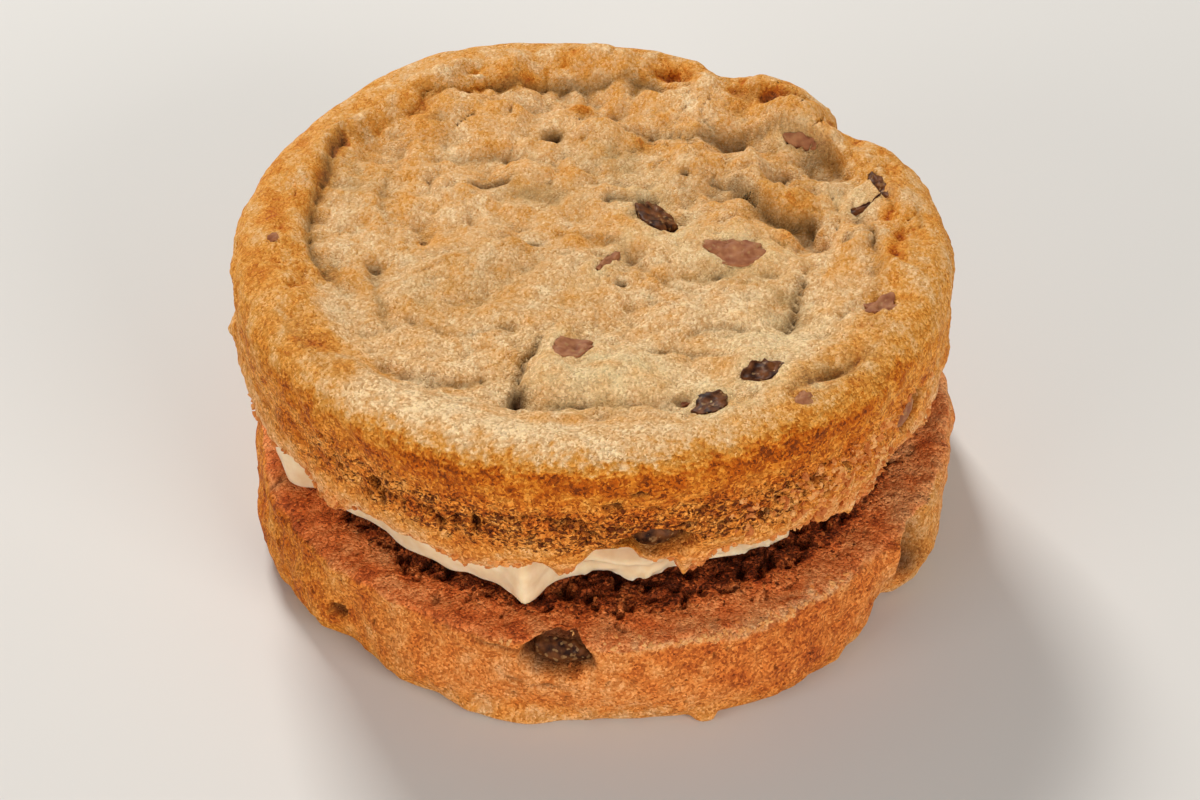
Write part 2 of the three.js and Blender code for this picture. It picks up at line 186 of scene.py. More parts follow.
# %% [markdown]
# ## From a blank to a fine skin
#
# A cookie starts as a cylinder. In edit mode the baked face is inset twice and pushed down, which makes the rim, and
# both edges are bevelled. That is only a blank. A voxel remesh gives it an even skin of quads about 0.4 mm across,
# which is fine enough for a crumb, a shrinkwrap lays that skin on the cookie's solid, and a smooth melts the solid's
# flat triangles away. What is left has the right form and no detail, like clay before the tools come out.


# %% Blanks
def pick(blank, kind, choose):
    bpy.ops.mesh.select_mode(type=kind)
    bpy.ops.mesh.select_all(action="DESELECT")
    drawn = bmesh.from_edit_mesh(blank.data)
    for part in choose(drawn):
        part.select_set(True)
    bmesh.update_edit_mesh(blank.data)


def level_edges(drawn):
    return [line for line in drawn.edges if abs(line.verts[0].co.z - line.verts[1].co.z) < 1e-6]


def shaped_blank(name, node, edge, face_up=True, rim_width=0, sink=0):
    corner_low, corner_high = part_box(node)
    centre = (corner_low + corner_high) / 2
    size = corner_high - corner_low
    bpy.ops.mesh.primitive_cylinder_add(vertices=96, radius=size.x / 2, depth=size.z, location=centre)
    blank = bpy.context.object
    blank.name = name
    bpy.ops.object.transform_apply(location=True, rotation=True, scale=True)
    bpy.ops.object.mode_set(mode="EDIT")
    pick(blank, "EDGE", level_edges)
    bpy.ops.mesh.bevel(offset=edge * MM, segments=5)
    end = -1 if face_up else 0
    pick(blank, "FACE", lambda drawn: [sorted(drawn.faces, key=lambda f: f.calc_center_median().z)[end]])
    if rim_width:
        bpy.ops.mesh.inset(thickness=rim_width * MM / 3)
        bpy.ops.mesh.inset(thickness=rim_width * MM)
        bpy.ops.transform.translate(value=(0, 0, -sink * MM if face_up else sink * MM))
    bpy.ops.object.mode_set(mode="OBJECT")
    return blank


def fine_skin(blank, node, voxel, melts):
    finished_with(blank, "REMESH", mode="VOXEL", voxel_size=voxel * MM, use_smooth_shade=True)
    finished_with(blank, "SHRINKWRAP", target=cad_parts[node], wrap_method="NEAREST_SURFACEPOINT")
    finished_with(blank, "SMOOTH", factor=0.5, iterations=melts)
    print(f"{blank.name}: a skin of {len(blank.data.vertices)} points")


# %% [markdown]
# ## Tool strokes
#
# Sculpting by hand can't be repeated to the last crumb, so each stroke is written as a function of the place on the
# skin. Blender's own noise gives the unevenness: smooth noise for swells, and cell noise, the distance to the
# nearest of many scattered points, for crumbs, because crumbs are rounded lumps with sharp gaps between them. Each
# noise takes a size in millimetres and then a seed. Most strokes fade out sideways like a bell, and a sector is a
# bell in degrees round the cookie.


# %% Points, noise and strokes
def values_of(piece, name):
    values = np.empty(len(piece.data.vertices) * 3)
    piece.data.vertices.foreach_get(name, values)
    return values.reshape(-1, 3)


def points_of(piece):
    return values_of(piece, "co") / MM


def flattened(x, y):
    return np.column_stack([x, y, np.zeros(len(x))])


def round_the_axis(points):
    # x, y and z are views of the points, so they follow the strokes. The radius, the angle and the way out don't.
    x, y, z = points.T
    radius = np.hypot(x, y)
    return x, y, z, radius, np.degrees(np.arctan2(y, x)), flattened(x, y) / np.maximum(radius, 1e-6)[:, None]


def move_to(piece, points):
    piece.data.vertices.foreach_set("co", (points * MM).ravel())
    piece.data.update()


def swell(points, size, seed):
    return np.array([noise.noise(p) for p in (points / size + seed).tolist()])


def cells(points, size, seed):
    return np.array([noise.voronoi(p)[0][0] for p in (points / size + seed).tolist()])


def ramp(values, start, end):
    share = np.clip((values - start) / (end - start), 0, 1)
    return share * share * (3 - 2 * share)


def turn_from(angles, centre):
    return (angles - centre + 180) % 360 - 180


def bell(values, middle, half, power=2):
    return np.exp(-np.abs((values - middle) / half) ** power)


def sector(angles, middle, half, power=4):
    return bell(turn_from(angles, middle), 0, half, power)


def from_hole(angles, heights, side_radius, at, level, length, tall):
    across = turn_from(angles, at) * math.radians(1) * side_radius / (length / 2)
    upright = (heights - level) / (tall / 2)
    return np.sqrt(across**2 + upright**2)


def lump(x, y, row):
    at_x, at_y, half_length, half_width, turn, rise = row
    turn = math.radians(turn)
    along = (x - at_x) * math.cos(turn) + (y - at_y) * math.sin(turn)
    across = (y - at_y) * math.cos(turn) - (x - at_x) * math.sin(turn)
    return rise * np.exp(-((along / half_length) ** 2) - (across / half_width) ** 2)


def smooth_line(corners, steps=12):
    ends = np.array(corners, float)
    ends = np.vstack([2 * ends[0] - ends[1], ends, 2 * ends[-1] - ends[-2]])
    line = []
    for a, b, c, d in zip(ends, ends[1:], ends[2:], ends[3:]):
        for t in np.linspace(0, 1, steps, endpoint=False):
            bend = (2 * a - 5 * b + 4 * c - d) * t**2 + (3 * b - a - 3 * c + d) * t**3
            line.append(0.5 * (2 * b + (c - a) * t + bend))
    return np.array(line + [ends[-2]])


def gap_to_line(x, y, corners):
    line = smooth_line(corners, 4)
    nearest = np.full(len(x), 1e9)
    above = np.zeros(len(x))
    for (ax, ay), (bx, by) in zip(line, line[1:]):
        dx, dy = bx - ax, by - ay
        share = np.clip(((x - ax) * dx + (y - ay) * dy) / (dx * dx + dy * dy), 0, 1)
        gap = np.hypot(x - ax - share * dx, y - ay - share * dy)
        closer = gap < nearest
        nearest[closer] = gap[closer]
        above[closer] = (dx * (y - ay) - dy * (x - ax))[closer]
    return nearest, above


def evened(piece, values, rounds):
    ends = np.empty(len(piece.data.edges) * 2, np.int64)
    piece.data.edges.foreach_get("vertices", ends)
    first, second = ends[::2], ends[1::2]
    count = np.bincount(ends, minlength=len(values))
    for _ in range(rounds):
        spread = np.bincount(first, values[second], len(values)) + np.bincount(second, values[first], len(values))
        values = 0.5 * values + 0.5 * spread / count
    return values


def hollowness(piece, rounds):
    points, facing = points_of(piece), values_of(piece, "normal")
    evened_out = np.column_stack([evened(piece, column, rounds) for column in points.T])
    return ((evened_out - points) * facing).sum(1)


def thinned(piece, hidden, share):
    group = piece.vertex_groups.new(name="hidden")
    group.add([int(i) for i in np.flatnonzero(hidden)], 1.0, "REPLACE")
    finished_with(piece, "DECIMATE", ratio=share, vertex_group="hidden", vertex_group_factor=10.0)
    piece.vertex_groups.clear()


def mark(piece, **layers):
    for name, values in layers.items():
        layer = piece.data.attributes.new(name, "FLOAT", "POINT")
        layer.data.foreach_set("value", np.asarray(values, np.float32))


# %% [markdown]
# ## The upper cookie
#
# Its baked face has a character of its own: soft folds at the back right where the dough slumped, a crease along
# the left of the rim, a raised mound at the front with a deep crack on its left, and small holes. The side changes
# from a fine sandy rim, through an amber band, to an open crumb full of dark pores, and ends in a ragged edge.

# %% The upper cookie's named features, in its own frame
# Lumps and hollows are x, y, half length, half width, turn in degrees and rise.
FACE_LUMPS = [
    (-13.5, 27, 4.6, 3.2, 0, 0.7), (11.4, 24.8, 3.8, 2.6, -15, 1.3), (21, 24, 5.4, 2.2, -12, 1.2),
    (28.4, 18.8, 4.2, 2.1, -52, 1.2), (21.6, 9.8, 5.4, 1.9, -35, 1), (22, 13.4, 1.4, 2.6, 0, -1),
    (15.4, 14.2, 1.2, 1.4, 0, -0.7), (24, 8, 2.2, 1.4, 20, 0.5), (31.4, 9.4, 1.6, 1.9, 0, 0.5),
    (5, 10.9, 3, 0.7, 4, 0.7), (6.3, 20.3, 1.1, 1.1, 0, 0.8), (-1.4, 27.9, 1.5, 1.2, 0, 0.8),
    (-1.4, 14.3, 1.3, 1, 0, 0.6), (22.4, 0.9, 1.3, 1.1, 0, 0.8), (13.9, 7.7, 1.2, 1.4, 0, 0.7),
    (2.5, 17, 4, 3.4, 0, -0.6), (-6.5, 10.4, 5.4, 2, -15, -0.7), (-3, 13.6, 4.4, 1.5, -10, 0.5),
    (15.5, -5.4, 5, 1.8, -12, -0.9), (27, -3, 2.8, 2, 0, 0.6), (29, -7, 2.2, 1.7, 30, 0.5),
    (20.4, -10.6, 2.8, 2, 20, 0.5), (32.8, -12.4, 2.6, 1.9, -12, -0.8), (8.2, 6, 2.6, 3.6, 20, -0.8),
    (-18.5, -9.5, 6, 4, -40, -0.5), (2.5, -25.2, 8, 3.6, 5, 0.9), (-4.4, -23.6, 2.4, 4.6, 0, 0.7),
    (26.4, -26.4, 4.6, 1.7, 42, -0.9), (17, -21.5, 5, 2.6, 20, 0.5), (-25, -4, 1.5, 1.3, 0, -0.7),
    (-21, 22, 3.6, 2, 40, 0.5), (-27, 10, 3, 6, 0, 0.3),
]
# Creases are the points of a path, the depth, half the width and how far its left side stands over its right.
FACE_CREASES = [
    ([(-30, 20.2), (-30.9, 15.5), (-32.5, 9), (-32.8, 3.5), (-31.9, -2.4), (-30.2, -5.8)], 1, 0.45, -0.9),
    ([(-29.8, 20.3), (-26.5, 22.6), (-22.5, 25.4), (-19.5, 28.6), (-16, 30.2)], 0.3, 0.8, 0.9),
    ([(-33.7, -15.9), (-30.8, -20.4), (-26.8, -25.4)], 0.5, 1.3, 0),
    ([(-35.2, -14), (-32, -20.8), (-28, -26.2)], 0.3, 0.4, -0.3),
    ([(-25.1, -5), (-24.9, -8), (-23.8, -12.6)], 0.4, 0.5, -0.3),
    ([(-23.2, -22.1), (-20.1, -23.8), (-16.9, -25.4), (-11.8, -24.3)], 0.4, 0.5, 0.3),
    ([(-5.6, -17.6), (-7.2, -20.5), (-7.7, -23.4), (-8.2, -26.1), (-7.9, -29.5)], 1.4, 0.34, 0.6),
    ([(-28, -21.5), (-23, -25.6), (-17.5, -28.6), (-12.5, -29.4), (-8.1, -29.4)], 0.25, 0.6, -0.5),
    (
        [
            (-8.1, -29.6), (-5.1, -30.7), (-1.4, -29.9), (3.6, -29.6), (7.8, -30.2), (10.5, -31.5), (13.8, -32.4),
            (15.8, -31.4), (17.3, -29.9), (19.3, -29.1), (21.2, -29.6), (22.9, -30.8), (25.2, -28.9), (27.5, -26.2),
            (29.9, -23.2), (32.2, -19.6),
        ],
        0.2, 0.35, -1.2,
    ),
    ([(24.2, -7.2), (23.5, -10.4), (22, -14.7)], 1.6, 0.42, -0.4),
    ([(-12.5, 31.6), (-8.8, 32.4), (-3.9, 32.7), (0.8, 32.3), (8.3, 31.4)], 0.8, 0.5, 0.9),
    (
        [(8, 22.6), (11.4, 21.6), (15.2, 22.4), (19.8, 22.6), (22.6, 21.2), (26.9, 19.3), (28.8, 17), (29.9, 15)],
        0.6, 0.45, 1.6,
    ),
    ([(18.8, 17.2), (19.6, 14), (19.4, 11.7), (20.4, 9), (21.6, 6.8)], -0.9, 0.8, 0),
    ([(17.5, 29.6), (20.3, 27.4), (23.3, 26.6), (27.4, 26.3)], 0.6, 0.9, 0.4),
    ([(8.4, 34.6), (11.9, 33)], 0.4, 0.6, 0),
    ([(16.2, 12.2), (18, 10.3), (19.8, 8), (20.9, 6), (22.8, 5), (25.2, 5.1), (26, 3.9)], 1.3, 0.55, 1.4),
    ([(32.4, 1.4), (32.7, -1)], 0.8, 0.4, 0),
    ([(29.8, 0.9), (29.7, -0.8)], 0.6, 0.4, 0),
    ([(38.2, 4.9), (38.2, 1.7)], 0.5, 0.3, 0),
    ([(2, 9.6), (4.6, 9.4), (7.6, 10)], 1, 0.4, 0.4),
    ([(31.4, 6), (32.4, 0.5), (33, -6), (31.8, -16)], 0.4, 0.7, 0.6),
    ([(21.8, -29.4), (23.6, -26.6), (27.2, -24), (31, -21.4)], 0.5, 0.6, 0.5),
    ([(5, -20.5), (10, -19.5), (15, -21)], 0.4, 0.4, 0.2),
    ([(11, -17), (15, -14.8), (19, -16.6)], 0.4, 0.4, 0.2),
    ([(-21, -13.5), (-15, -17), (-9, -15.5)], 0.35, 0.45, 0.2),
    ([(-24, 14), (-24.8, 10), (-24.2, 6)], 0.4, 0.5, -0.3),
    ([(-2, 2.5), (3, 1), (7, -5), (13, -9)], 0.3, 0.4, 0.4),
    ([(-19, 17.5), (-12, 18.6), (-6, 17)], 0.3, 0.6, 0.3),
]
# Small holes are x, y, half length, half width, turn in degrees and depth.
FACE_HOLES = [
    (-11.7, 13.5, 1.3, 0.42, 8, 1.9), (-13.8, 13.1, 0.6, 0.5, 0, 1.5), (-4.7, 22.1, 0.9, 0.6, 35, 1.5),
    (-5.4, 21.3, 0.6, 0.4, 0, 0.9), (-19.6, 1.9, 0.4, 0.4, 0, 0.9), (-6.7, 0.2, 0.45, 0.4, 0, 0.9),
    (3.3, -7, 0.5, 0.4, 0, 0.9), (-25, -3.6, 0.8, 0.6, 0, 0.6), (-8.1, -27.6, 0.7, 1.2, 0, 1.4),
    (11, 13.6, 0.5, 0.5, 0, 0.9), (-18.9, 23.3, 1.2, 0.7, 10, 0.6), (-19.9, 28.6, 1.1, 0.8, -20, 0.5),
    (-30.1, 21.2, 0.9, 0.9, 0, 0.4), (-23.9, 22, 0.8, 0.6, 0, 0.4), (10.2, -28.6, 0.9, 0.6, 0, 0.8),
]
# Chips are x, y, length, width, turn in degrees, how far they stand out and the kind of chocolate.
FACE_CHIPS = [
    (13.2, -29.6, 4.2, 3.8, 20, 0.3, "dark"), (19.1, -24.6, 4.4, 3.3, 22, 0.3, "dark"),
    (-2.1, -20, 4.7, 3.5, 6, 0.5, "milk"), (16.6, -1.9, 7.4, 3.4, -6, 0.5, "milk"),
    (7.7, 6, 3.9, 6.8, 24, 1.2, "dark"), (1.9, -2.8, 6.6, 1.3, 64, 0.2, "milk"),
    (33.6, 9.6, 5.4, 1.5, 103, 0.1, "dark"), (31.9, 6.8, 3.2, 1, 4, 0.1, "dark"),
    (32.8, -12.3, 3.8, 3.3, -8, 0.4, "milk"), (25, 19.6, 4, 1.1, -14, 0.1, "milk"),
    (23.3, -30.3, 2.2, 1.9, 60, 0.2, "milk"), (-36.7, -1.6, 1.7, 1.4, 60, 0.1, "milk"),
    (10.4, -28.5, 1.1, 0.8, 0, 0.1, "milk"),
]
print(len(FACE_LUMPS), "lumps,", len(FACE_CREASES), "creases,", len(FACE_CHIPS), "chips on the face")

# %% The upper cookie's form
# Notches in the rim are an angle, a depth and half a width in degrees.
NOTCHES = [(64.5, 1.8, 3), (38.3, 1.8, 2.1)]
upper = shaped_blank("upper_dough", "upper_cookie", edge=3.0, rim_width=6.0, sink=1.9)
fine_skin(upper, "upper_cookie", voxel=0.38, melts=17)


# %% Sculpt the baked face
def face_strokes(x, y):
    spot = flattened(x, y)
    bent_x = x + 0.5 * swell(spot, 2.6, 11.3)
    bent_y = y + 0.5 * swell(spot, 2.6, 17.9)
    up = sum(lump(bent_x, bent_y, row) for row in FACE_LUMPS)
    # dark is painted shade, for the bottoms of creases and holes.
    dark = np.zeros(len(x))
    for path, deep, half, step in FACE_CREASES:
        gap, left = gap_to_line(bent_x, bent_y, path)
        half = half * (1 + 0.6 * swell(spot, 1.6, deep))
        cut = bell(gap, 0, half, 1.6)
        up += step * 0.5 * np.tanh(np.sign(left) * gap / 0.45) * bell(gap, 0, 3.0) - deep * cut
        # Light reaches the bottom of a crease more than a millimetre wide, so its painted shade is made less dark.
        dark = np.maximum(dark, cut * np.clip(deep / 1.1, 0, 1) * min(1, 0.5 / np.mean(half)))
    for *place, deep in FACE_HOLES:
        cut = np.minimum(1, 1.7 * lump(bent_x, bent_y, (*place, 1.0)))
        up -= deep * cut
        dark = np.maximum(dark, 1.6 * cut * min(1, (deep / 1.2) ** 2))
    # The dough is craggy at the back right and smoother at the left: soft domes, cracks between them, and grit.
    rugged = 0.6 + 0.6 * ramp(0.5 * x + 0.85 * y + 6 * swell(spot, 12, 2.4), -22, 20)
    bent = flattened(bent_x, bent_y)
    domes = 0.4 - 1.1 * cells(bent + 0.6 * swell(spot, 1.8, 4.9)[:, None], 4.6, 7.2) ** 2
    knobs = 0.4 - 1.1 * cells(bent + 0.4 * swell(spot, 1.2, 2.9)[:, None], 2.4, 4.4) ** 2
    cracks = bell(swell(bent, 3.2, 12.5), 0, 0.05) * ramp(swell(spot, 7.0, 8.8), -0.1, 0.3)
    grit = 1.9 * swell(spot, 7.0, 3.1) + 1.3 * domes + 0.5 * knobs + 0.6 * swell(bent, 2.1, 8.7) - 0.5 * cracks
    for at_x, at_y, length, width, turn, *_ in FACE_CHIPS:
        inside = lump(x, y, (at_x, at_y, length / 2, width / 2, turn, 1.0))
        around = lump(x, y, (at_x, at_y, length * 0.8, width * 0.9, turn, 1.0)) - inside
        grit *= 1 - 0.7 * inside
        up += (0.7 * around - 0.55 * ramp(inside, 0.3, 0.6)) * min(1, length / 4)
    up += rugged * grit + 0.22 * swell(spot, 0.95, 1.3)
    return up, dark


local = to_upper(points_of(upper))
facing = (values_of(upper, "normal") @ UPPER_TURN)[:, 2]
x, y, z, radius, angle, away = round_the_axis(local)
for at, deep, half in NOTCHES:
    bite = sector(angle, at, half, 1.15) * ramp(radius, 33, 40)
    local -= away * (deep * bite)[:, None]
facing_up = ramp(facing, 0.3, 0.75)
flat = flattened(x, y)
baked = facing_up > 0
up, crease_painted_shade = np.zeros(len(x)), np.zeros(len(x))
up[baked], crease_painted_shade[baked] = face_strokes(x[baked], y[baked])
front_rim = ramp(radius, 32.5, 35) * sector(angle, -100, 46)
calm_edge = 1 - 0.85 * ramp(radius, 35.5, 39.5)
local[:, 2] += up * facing_up * (1 - 0.7 * front_rim) * calm_edge
print("face strokes from", round(float(up.min()), 2), "to", round(float(up.max()), 2), "mm")

# %% [markdown]
# The side is worked outwards and inwards from the middle. Its pores are slits, flat and wide, because the dough rose
# and sagged as it baked. The large ones have a place of their own, and a noise field adds the small ones. They crowd
# together low on the side and grow rare under the rim. Two chips broke out through the side and left holes.

# %% The upper side's named holes
# Each is an angle, a height over the base, a length, a height and a depth.
CHIP_HOLES_ABOVE = [
    (-80.2, 3.5, 9, 4.2, 3), (-27, 5, 6, 4.2, 1.8), (118, 5.5, 6, 3.2, 2),
]
SLITS_ABOVE = [
    (-115.6, 6.3, 1.7, 0.8, 1.2), (-114, 5, 1.1, 2, 1.3), (-111, 5.8, 1.4, 1.1, 1.2), (-107.8, 6.1, 1.1, 1.9, 1.3),
    (-102.7, 7.9, 2.4, 0.6, 1.1), (-94, 7.6, 3.8, 1.3, 1.5), (-90.7, 6.1, 2.3, 0.7, 1.1), (-86.4, 6.8, 2, 0.8, 1.1),
    (-86.8, 10.3, 2.4, 0.6, 0.9), (-82.7, 11.6, 2.2, 0.7, 0.8), (-80.5, 9.4, 1.6, 0.6, 0.9),
    (-75.6, 6.4, 2.4, 0.5, 0.9), (-72.6, 8.3, 1.2, 0.7, 0.9), (-69, 5.2, 1.8, 0.7, 1), (-62.3, 5, 1.4, 1.3, 1.5),
    (-59.8, 6.2, 1.4, 0.9, 1.3), (-52.9, 6.9, 2.2, 0.9, 1.3), (-50.8, 3.9, 2.4, 0.8, 1.2), (-45.7, 6.6, 1.7, 1, 1.2),
    (-126.1, 6.4, 1.5, 1.7, 1.6), (-127.6, 4.4, 0.8, 1.3, 1.2), (-124.6, 4.8, 1, 1.7, 1.3),
    (-134.5, 7.9, 0.6, 0.7, 0.8),
]
# What hangs from the base edge is an angle, half a width in degrees and a depth, or less than nothing where it is cut.
HANGING = [
    (-137, 4.5, 1.6), (-73.8, 2.4, 2.2), (-122, 2, 0.3), (-43, 8, 1.7), (-110, 5, 0.6), (-94, 2, 0.6),
    (-98, 2, -0.6), (-67, 3, -0.4),
]

# %% Sculpt the side and the ragged base edge
side = 1 - ramp(np.abs(facing), 0.45, 0.85)
wall = np.column_stack([x, y, z * 1.9])
front = sector(angle, -86, 60)
coarse = ramp(z, 0.5, 3) * (1 - ramp(z, 8, 13)) * sector(angle, -50, 16)
porous = ramp(z, 1.5, 4.5) * (1 - ramp(z, 7.5, 13.5)) * (0.25 + 0.75 * front)
pore_field = swell(wall, 1.3, 4.4) + 0.6 * swell(wall, 0.75, 9.2)
pore = ramp(pore_field, 1.05 - 0.55 * porous, 1.25 - 0.5 * porous) * side
grains = 0.55 - cells(wall, 1.5, 2.2)
outwards = (0.12 + 0.22 * porous + 0.9 * coarse) * grains + 0.3 * swell(wall, 0.8, 7.7) * (0.4 + 0.6 * porous)
outwards += 0.35 * swell(local, 4.4, 6.6) + 0.25 * swell(local, 2.0, 3.6) - 0.95 * pore
# The pores, slits and chip holes of the side get painted shade.
side_painted_shade = pore.copy()
for at, level, length, tall, deep in SLITS_ABOVE + CHIP_HOLES_ABOVE:
    rough = (0.35 if length < 4 else 0.15) * swell(wall, 1.1, at)
    inside = ramp(1.2 - from_hole(angle, z, UPPER_RADIUS, at, level, length, tall) + rough, 0, 0.4)
    outwards = outwards * (1 - inside) - deep * inside
    side_painted_shade = np.maximum(side_painted_shade, inside * side)
local += away * (outwards * side)[:, None]

# The edge of the base is torn: crumbs hang down in places, and an arch is missing in the middle of the front.
outer = ramp(radius, 34, 38)
torn = bell(z, 0, 1.5) * outer
ragged = 0.9 * swell(flat, 2.2, 3.9) + 0.7 * swell(flat, 1.0, 6.1)
local += away * (0.5 * ragged * torn)[:, None]
hang = np.minimum(0.9 * ragged, 0.15)
for at, half, deep in HANGING:
    hang -= deep * sector(angle, at, half) * (1 + 1.2 * swell(flat, 1.1, 8.2))
local[:, 2] += hang * torn
arch = sector(angle, -86.8, 4.6) * ramp(radius, 33, 37) * (1 - ramp(z, 0, 4.6))
local[:, 2] += (2.7 + 0.5 * swell(flat, 1.3, 5.5)) * arch
base = ramp(-facing, 0.5, 0.9)
base_pores = ramp(swell(flat, 1.7, 2.9) + 0.4 * swell(flat, 0.9, 5.5), 0.1, 0.5) * base
local[:, 2] += 0.5 * base_pores * ramp(radius, 20, 26)
move_to(upper, from_upper(local))
print("pores cover", round(100 * float(pore[side > 0.9].mean())), "% of the side")

# %% [markdown]
# ## How the oven browns it, with painted shade and light
#
# Browning is kept as a number on each point of the skin, from 0 for pale and sandy to 1 for dark. It is mostly a real
# property of the dough, so a colour ramp in the material can turn it into every crust colour at once, but it also
# carries some painted shade and light: browner in the rim's hollows and under the ice cream, paler on the rim's bumps
# and front. High spots of the face brown more than hollows. A second number is painted shade, the dark of what is
# deep: creases, holes, pores and hollows. Others keep where the dough is pale, round a chip and, as painted light,
# on the front; where it is olive, from melted chocolate and as painted shade in hollows and creases; where it baked
# red against the tin; where it is porous; and how strongly its grains glitter, which is painted glints.

# %% The upper cookie's spots, stains, painted shade and painted light
# Brown spots are x, y, half a width and how much browner. Patches are rows like the lumps, with a strength.
BROWN_SPOTS = [
    (-30.6, -20, 2.6, 0.30), (-27.4, -24.6, 2, 0.25), (-37.2, 4, 1.6, 0.25), (-30.5, -5.8, 1.4, 0.3),
    (22.5, 27.6, 3.4, 0.2), (10.4, 33.6, 2.4, 0.15), (-19.5, 24, 1.8, 0.15), (-20.2, 28.6, 1.8, 0.1),
    (6.3, 20.3, 1, 0.35), (-1.4, 27.9, 1.4, 0.25), (-1.4, 14.3, 1.2, 0.2), (22.4, 0.9, 1.2, 0.2), (20, 7.2, 2, 0.15),
    (23.8, 7, 2, 0.3), (34.5, -4, 2, 0.2), (-15, -25, 2.2, 0.15), (-12, -8, 12, 0.03), (19, -15, 7, -0.10),
    (-15.4, -27.6, 6, -0.08),
]
# The patches on the front are painted light; the rest, and those added round chips below, are dough that stayed pale.
PALE_AND_PAINTED_LIGHT_PATCHES = [
    (1.5, -25, 9, 5, 5, 1), (25.3, -27, 2.4, 1.1, 40, 1), (29.8, 8.6, 3.4, 1.2, -10, 1), (14, -30, 5, 2, 0, 0.9),
    (20, -18, 8, 5, 20, 0.6),
]
# Olive patches are partly melted-chocolate stain and partly painted shade in hollows and creases.
OLIVE_SHADE_AND_STAIN_PATCHES = [
    (2.5, 17, 4.6, 3.6, 0, 0.9), (-6.5, 10.6, 5.4, 2.4, -15, 1), (15.5, -5.2, 5.4, 2.6, -12, 1),
    (21.5, -11, 2.6, 4.4, 10, 0.9), (2, -29.4, 7, 1.6, 2, 0.8), (-19, -9, 6, 4.4, -40, 0.5),
    (-28, 13, 3.4, 6, 0, 0.6), (27, -24.4, 5, 2.2, 30, 0.8), (8.5, 12, 9, 5, 0, 0.35), (24, 12, 7, 6, 0, 0.4),
    (2.4, -3, 3.6, 2.6, 60, 0.5), (-8, -28, 1.6, 3, 0, 0.8), (-14, -8, 15, 9, 0, 0.4),
]

# %% Brown the upper cookie, and paint its shade and light
hollow = hollowness(upper, 40)
sunk, proud = ramp(hollow, 0.05, 0.45), ramp(-hollow, 0.05, 0.4)
print("hollows reach", round(float(hollow.max()), 2), "mm and bumps", round(float(-hollow.min()), 2), "mm")
toast = 0.18 + 0.06 * ramp(y, -30, 30) + 0.10 * swell(flat, 9, 1.1) + 0.12 * swell(flat, 3.4, 5.1) + 0.05 * proud
rim_toast = 0.47 + 0.22 * swell(flat, 3.4, 2.2) + 0.18 * swell(flat, 1.7, 8.2)
# On the rim, hollows are painted browner as shade and bumps paler as light.
rim_toast += 0.3 * sunk - 0.12 * proud - 0.13 * ramp(y, 12, 32) - 0.08 * ramp(x, 20, 36)
# The front of the rim is paler: partly a paler sandy crust, partly painted light.
front_toast = 0.09 + 0.07 * ramp(x, -10, 20) + 0.12 * swell(flat, 3.0, 6.2)
rim_toast = rim_toast * (1 - front_rim) + front_toast * front_rim
on_rim = ramp(radius + 0.8 * swell(flat, 3.0, 9.1), 32.0, 35.0)
toast = toast * (1 - on_rim) + rim_toast * on_rim
for at_x, at_y, half, more in BROWN_SPOTS:
    toast += lump(x, y, (at_x, at_y, half, half, 0, more))
amber = bell(z, 13.6, 2.2) * sector(angle, -85, 48)
side_toast = 0.66 + 0.18 * amber + 0.16 * swell(wall, 5, 3.3) + 0.18 * swell(wall, 1.6, 5.7)
side_toast += 0.12 * amber * ramp(angle, -75, -58)
side_toast -= 0.16 * ramp(np.abs(turn_from(angle, -90)), 45, 80) + 0.28 * bell(z, 0, 3.2)
shoulder = z + 0.7 * swell(wall, 2.6, 4.6) + 1.5 * swell(wall, 0.7, 8.6)
on_side = (1 - ramp(shoulder, 11.2 + 2.0 * sector(angle, -88, 50), 16.9)) * ramp(radius, 36.0, 38.5)
toast = toast * (1 - on_side) + side_toast * on_side
for at_x, at_y, length, width, turn, *_ in FACE_CHIPS:
    if length > 2 and math.hypot(at_x, at_y) < 34:
        PALE_AND_PAINTED_LIGHT_PATCHES.append((at_x, at_y, length * 0.9, width * 1.1, turn, 1.0))
pale = np.max([lump(x, y, row) for row in PALE_AND_PAINTED_LIGHT_PATCHES], axis=0)
olive = np.max([lump(x, y, row) for row in OLIVE_SHADE_AND_STAIN_PATCHES], axis=0)
patchy = 0.75 + 0.9 * swell(flat, 1.8, 9.9)
pale = np.clip(pale * patchy, 0, 1) * facing_up
# Olive also gathers painted shade in hollows and creases.
olive = np.clip(olive * patchy + 0.4 * sunk * (1 - on_rim) + 0.7 * crease_painted_shade - 0.5 * pale, 0, 1) * facing_up
red = bell(z, 0, 2.6) * (1 - facing_up) * outer
# depth is painted shade: creases, pores, slits, chip holes and the deepest hollows.
depth = np.maximum(np.maximum(0.6 * crease_painted_shade * facing_up, side_painted_shade), 0.4 * ramp(hollow, 0.3, 0.9))
mark(
    upper,
    toast=np.clip(toast, 0, 1),
    depth=np.clip(depth, 0, 1),
    sandy=1.1 - 0.55 * ramp(y, -30, 8),
    pale=pale,
    olive=olive,
    red=np.clip(0.5 * red + 0.3 * porous * side + base, 0, 1),
    porous=np.clip(porous * side * (1 - 0.4 * ramp(angle, -62, -50)) + 0.15 * red, 0, 1),
)
print("browning from", round(float(toast.min()), 2), "to", round(float(toast.max()), 2))

thinned(upper, (z < 1.5) & (radius < 34), 0.79)
print("after thinning the hidden base:", len(upper.data.vertices), "points")

# %% [markdown]
# ## The lower cookie
#
# It is the same kind of cookie, upside down. Its open-pored base is what shows between the layers, reddish brown
# because it baked against the tin. The side is smoother and paler than the upper one's, with a chip that broke
# through at the front, a fold on the right, and a bulge with a dent under it on the left.

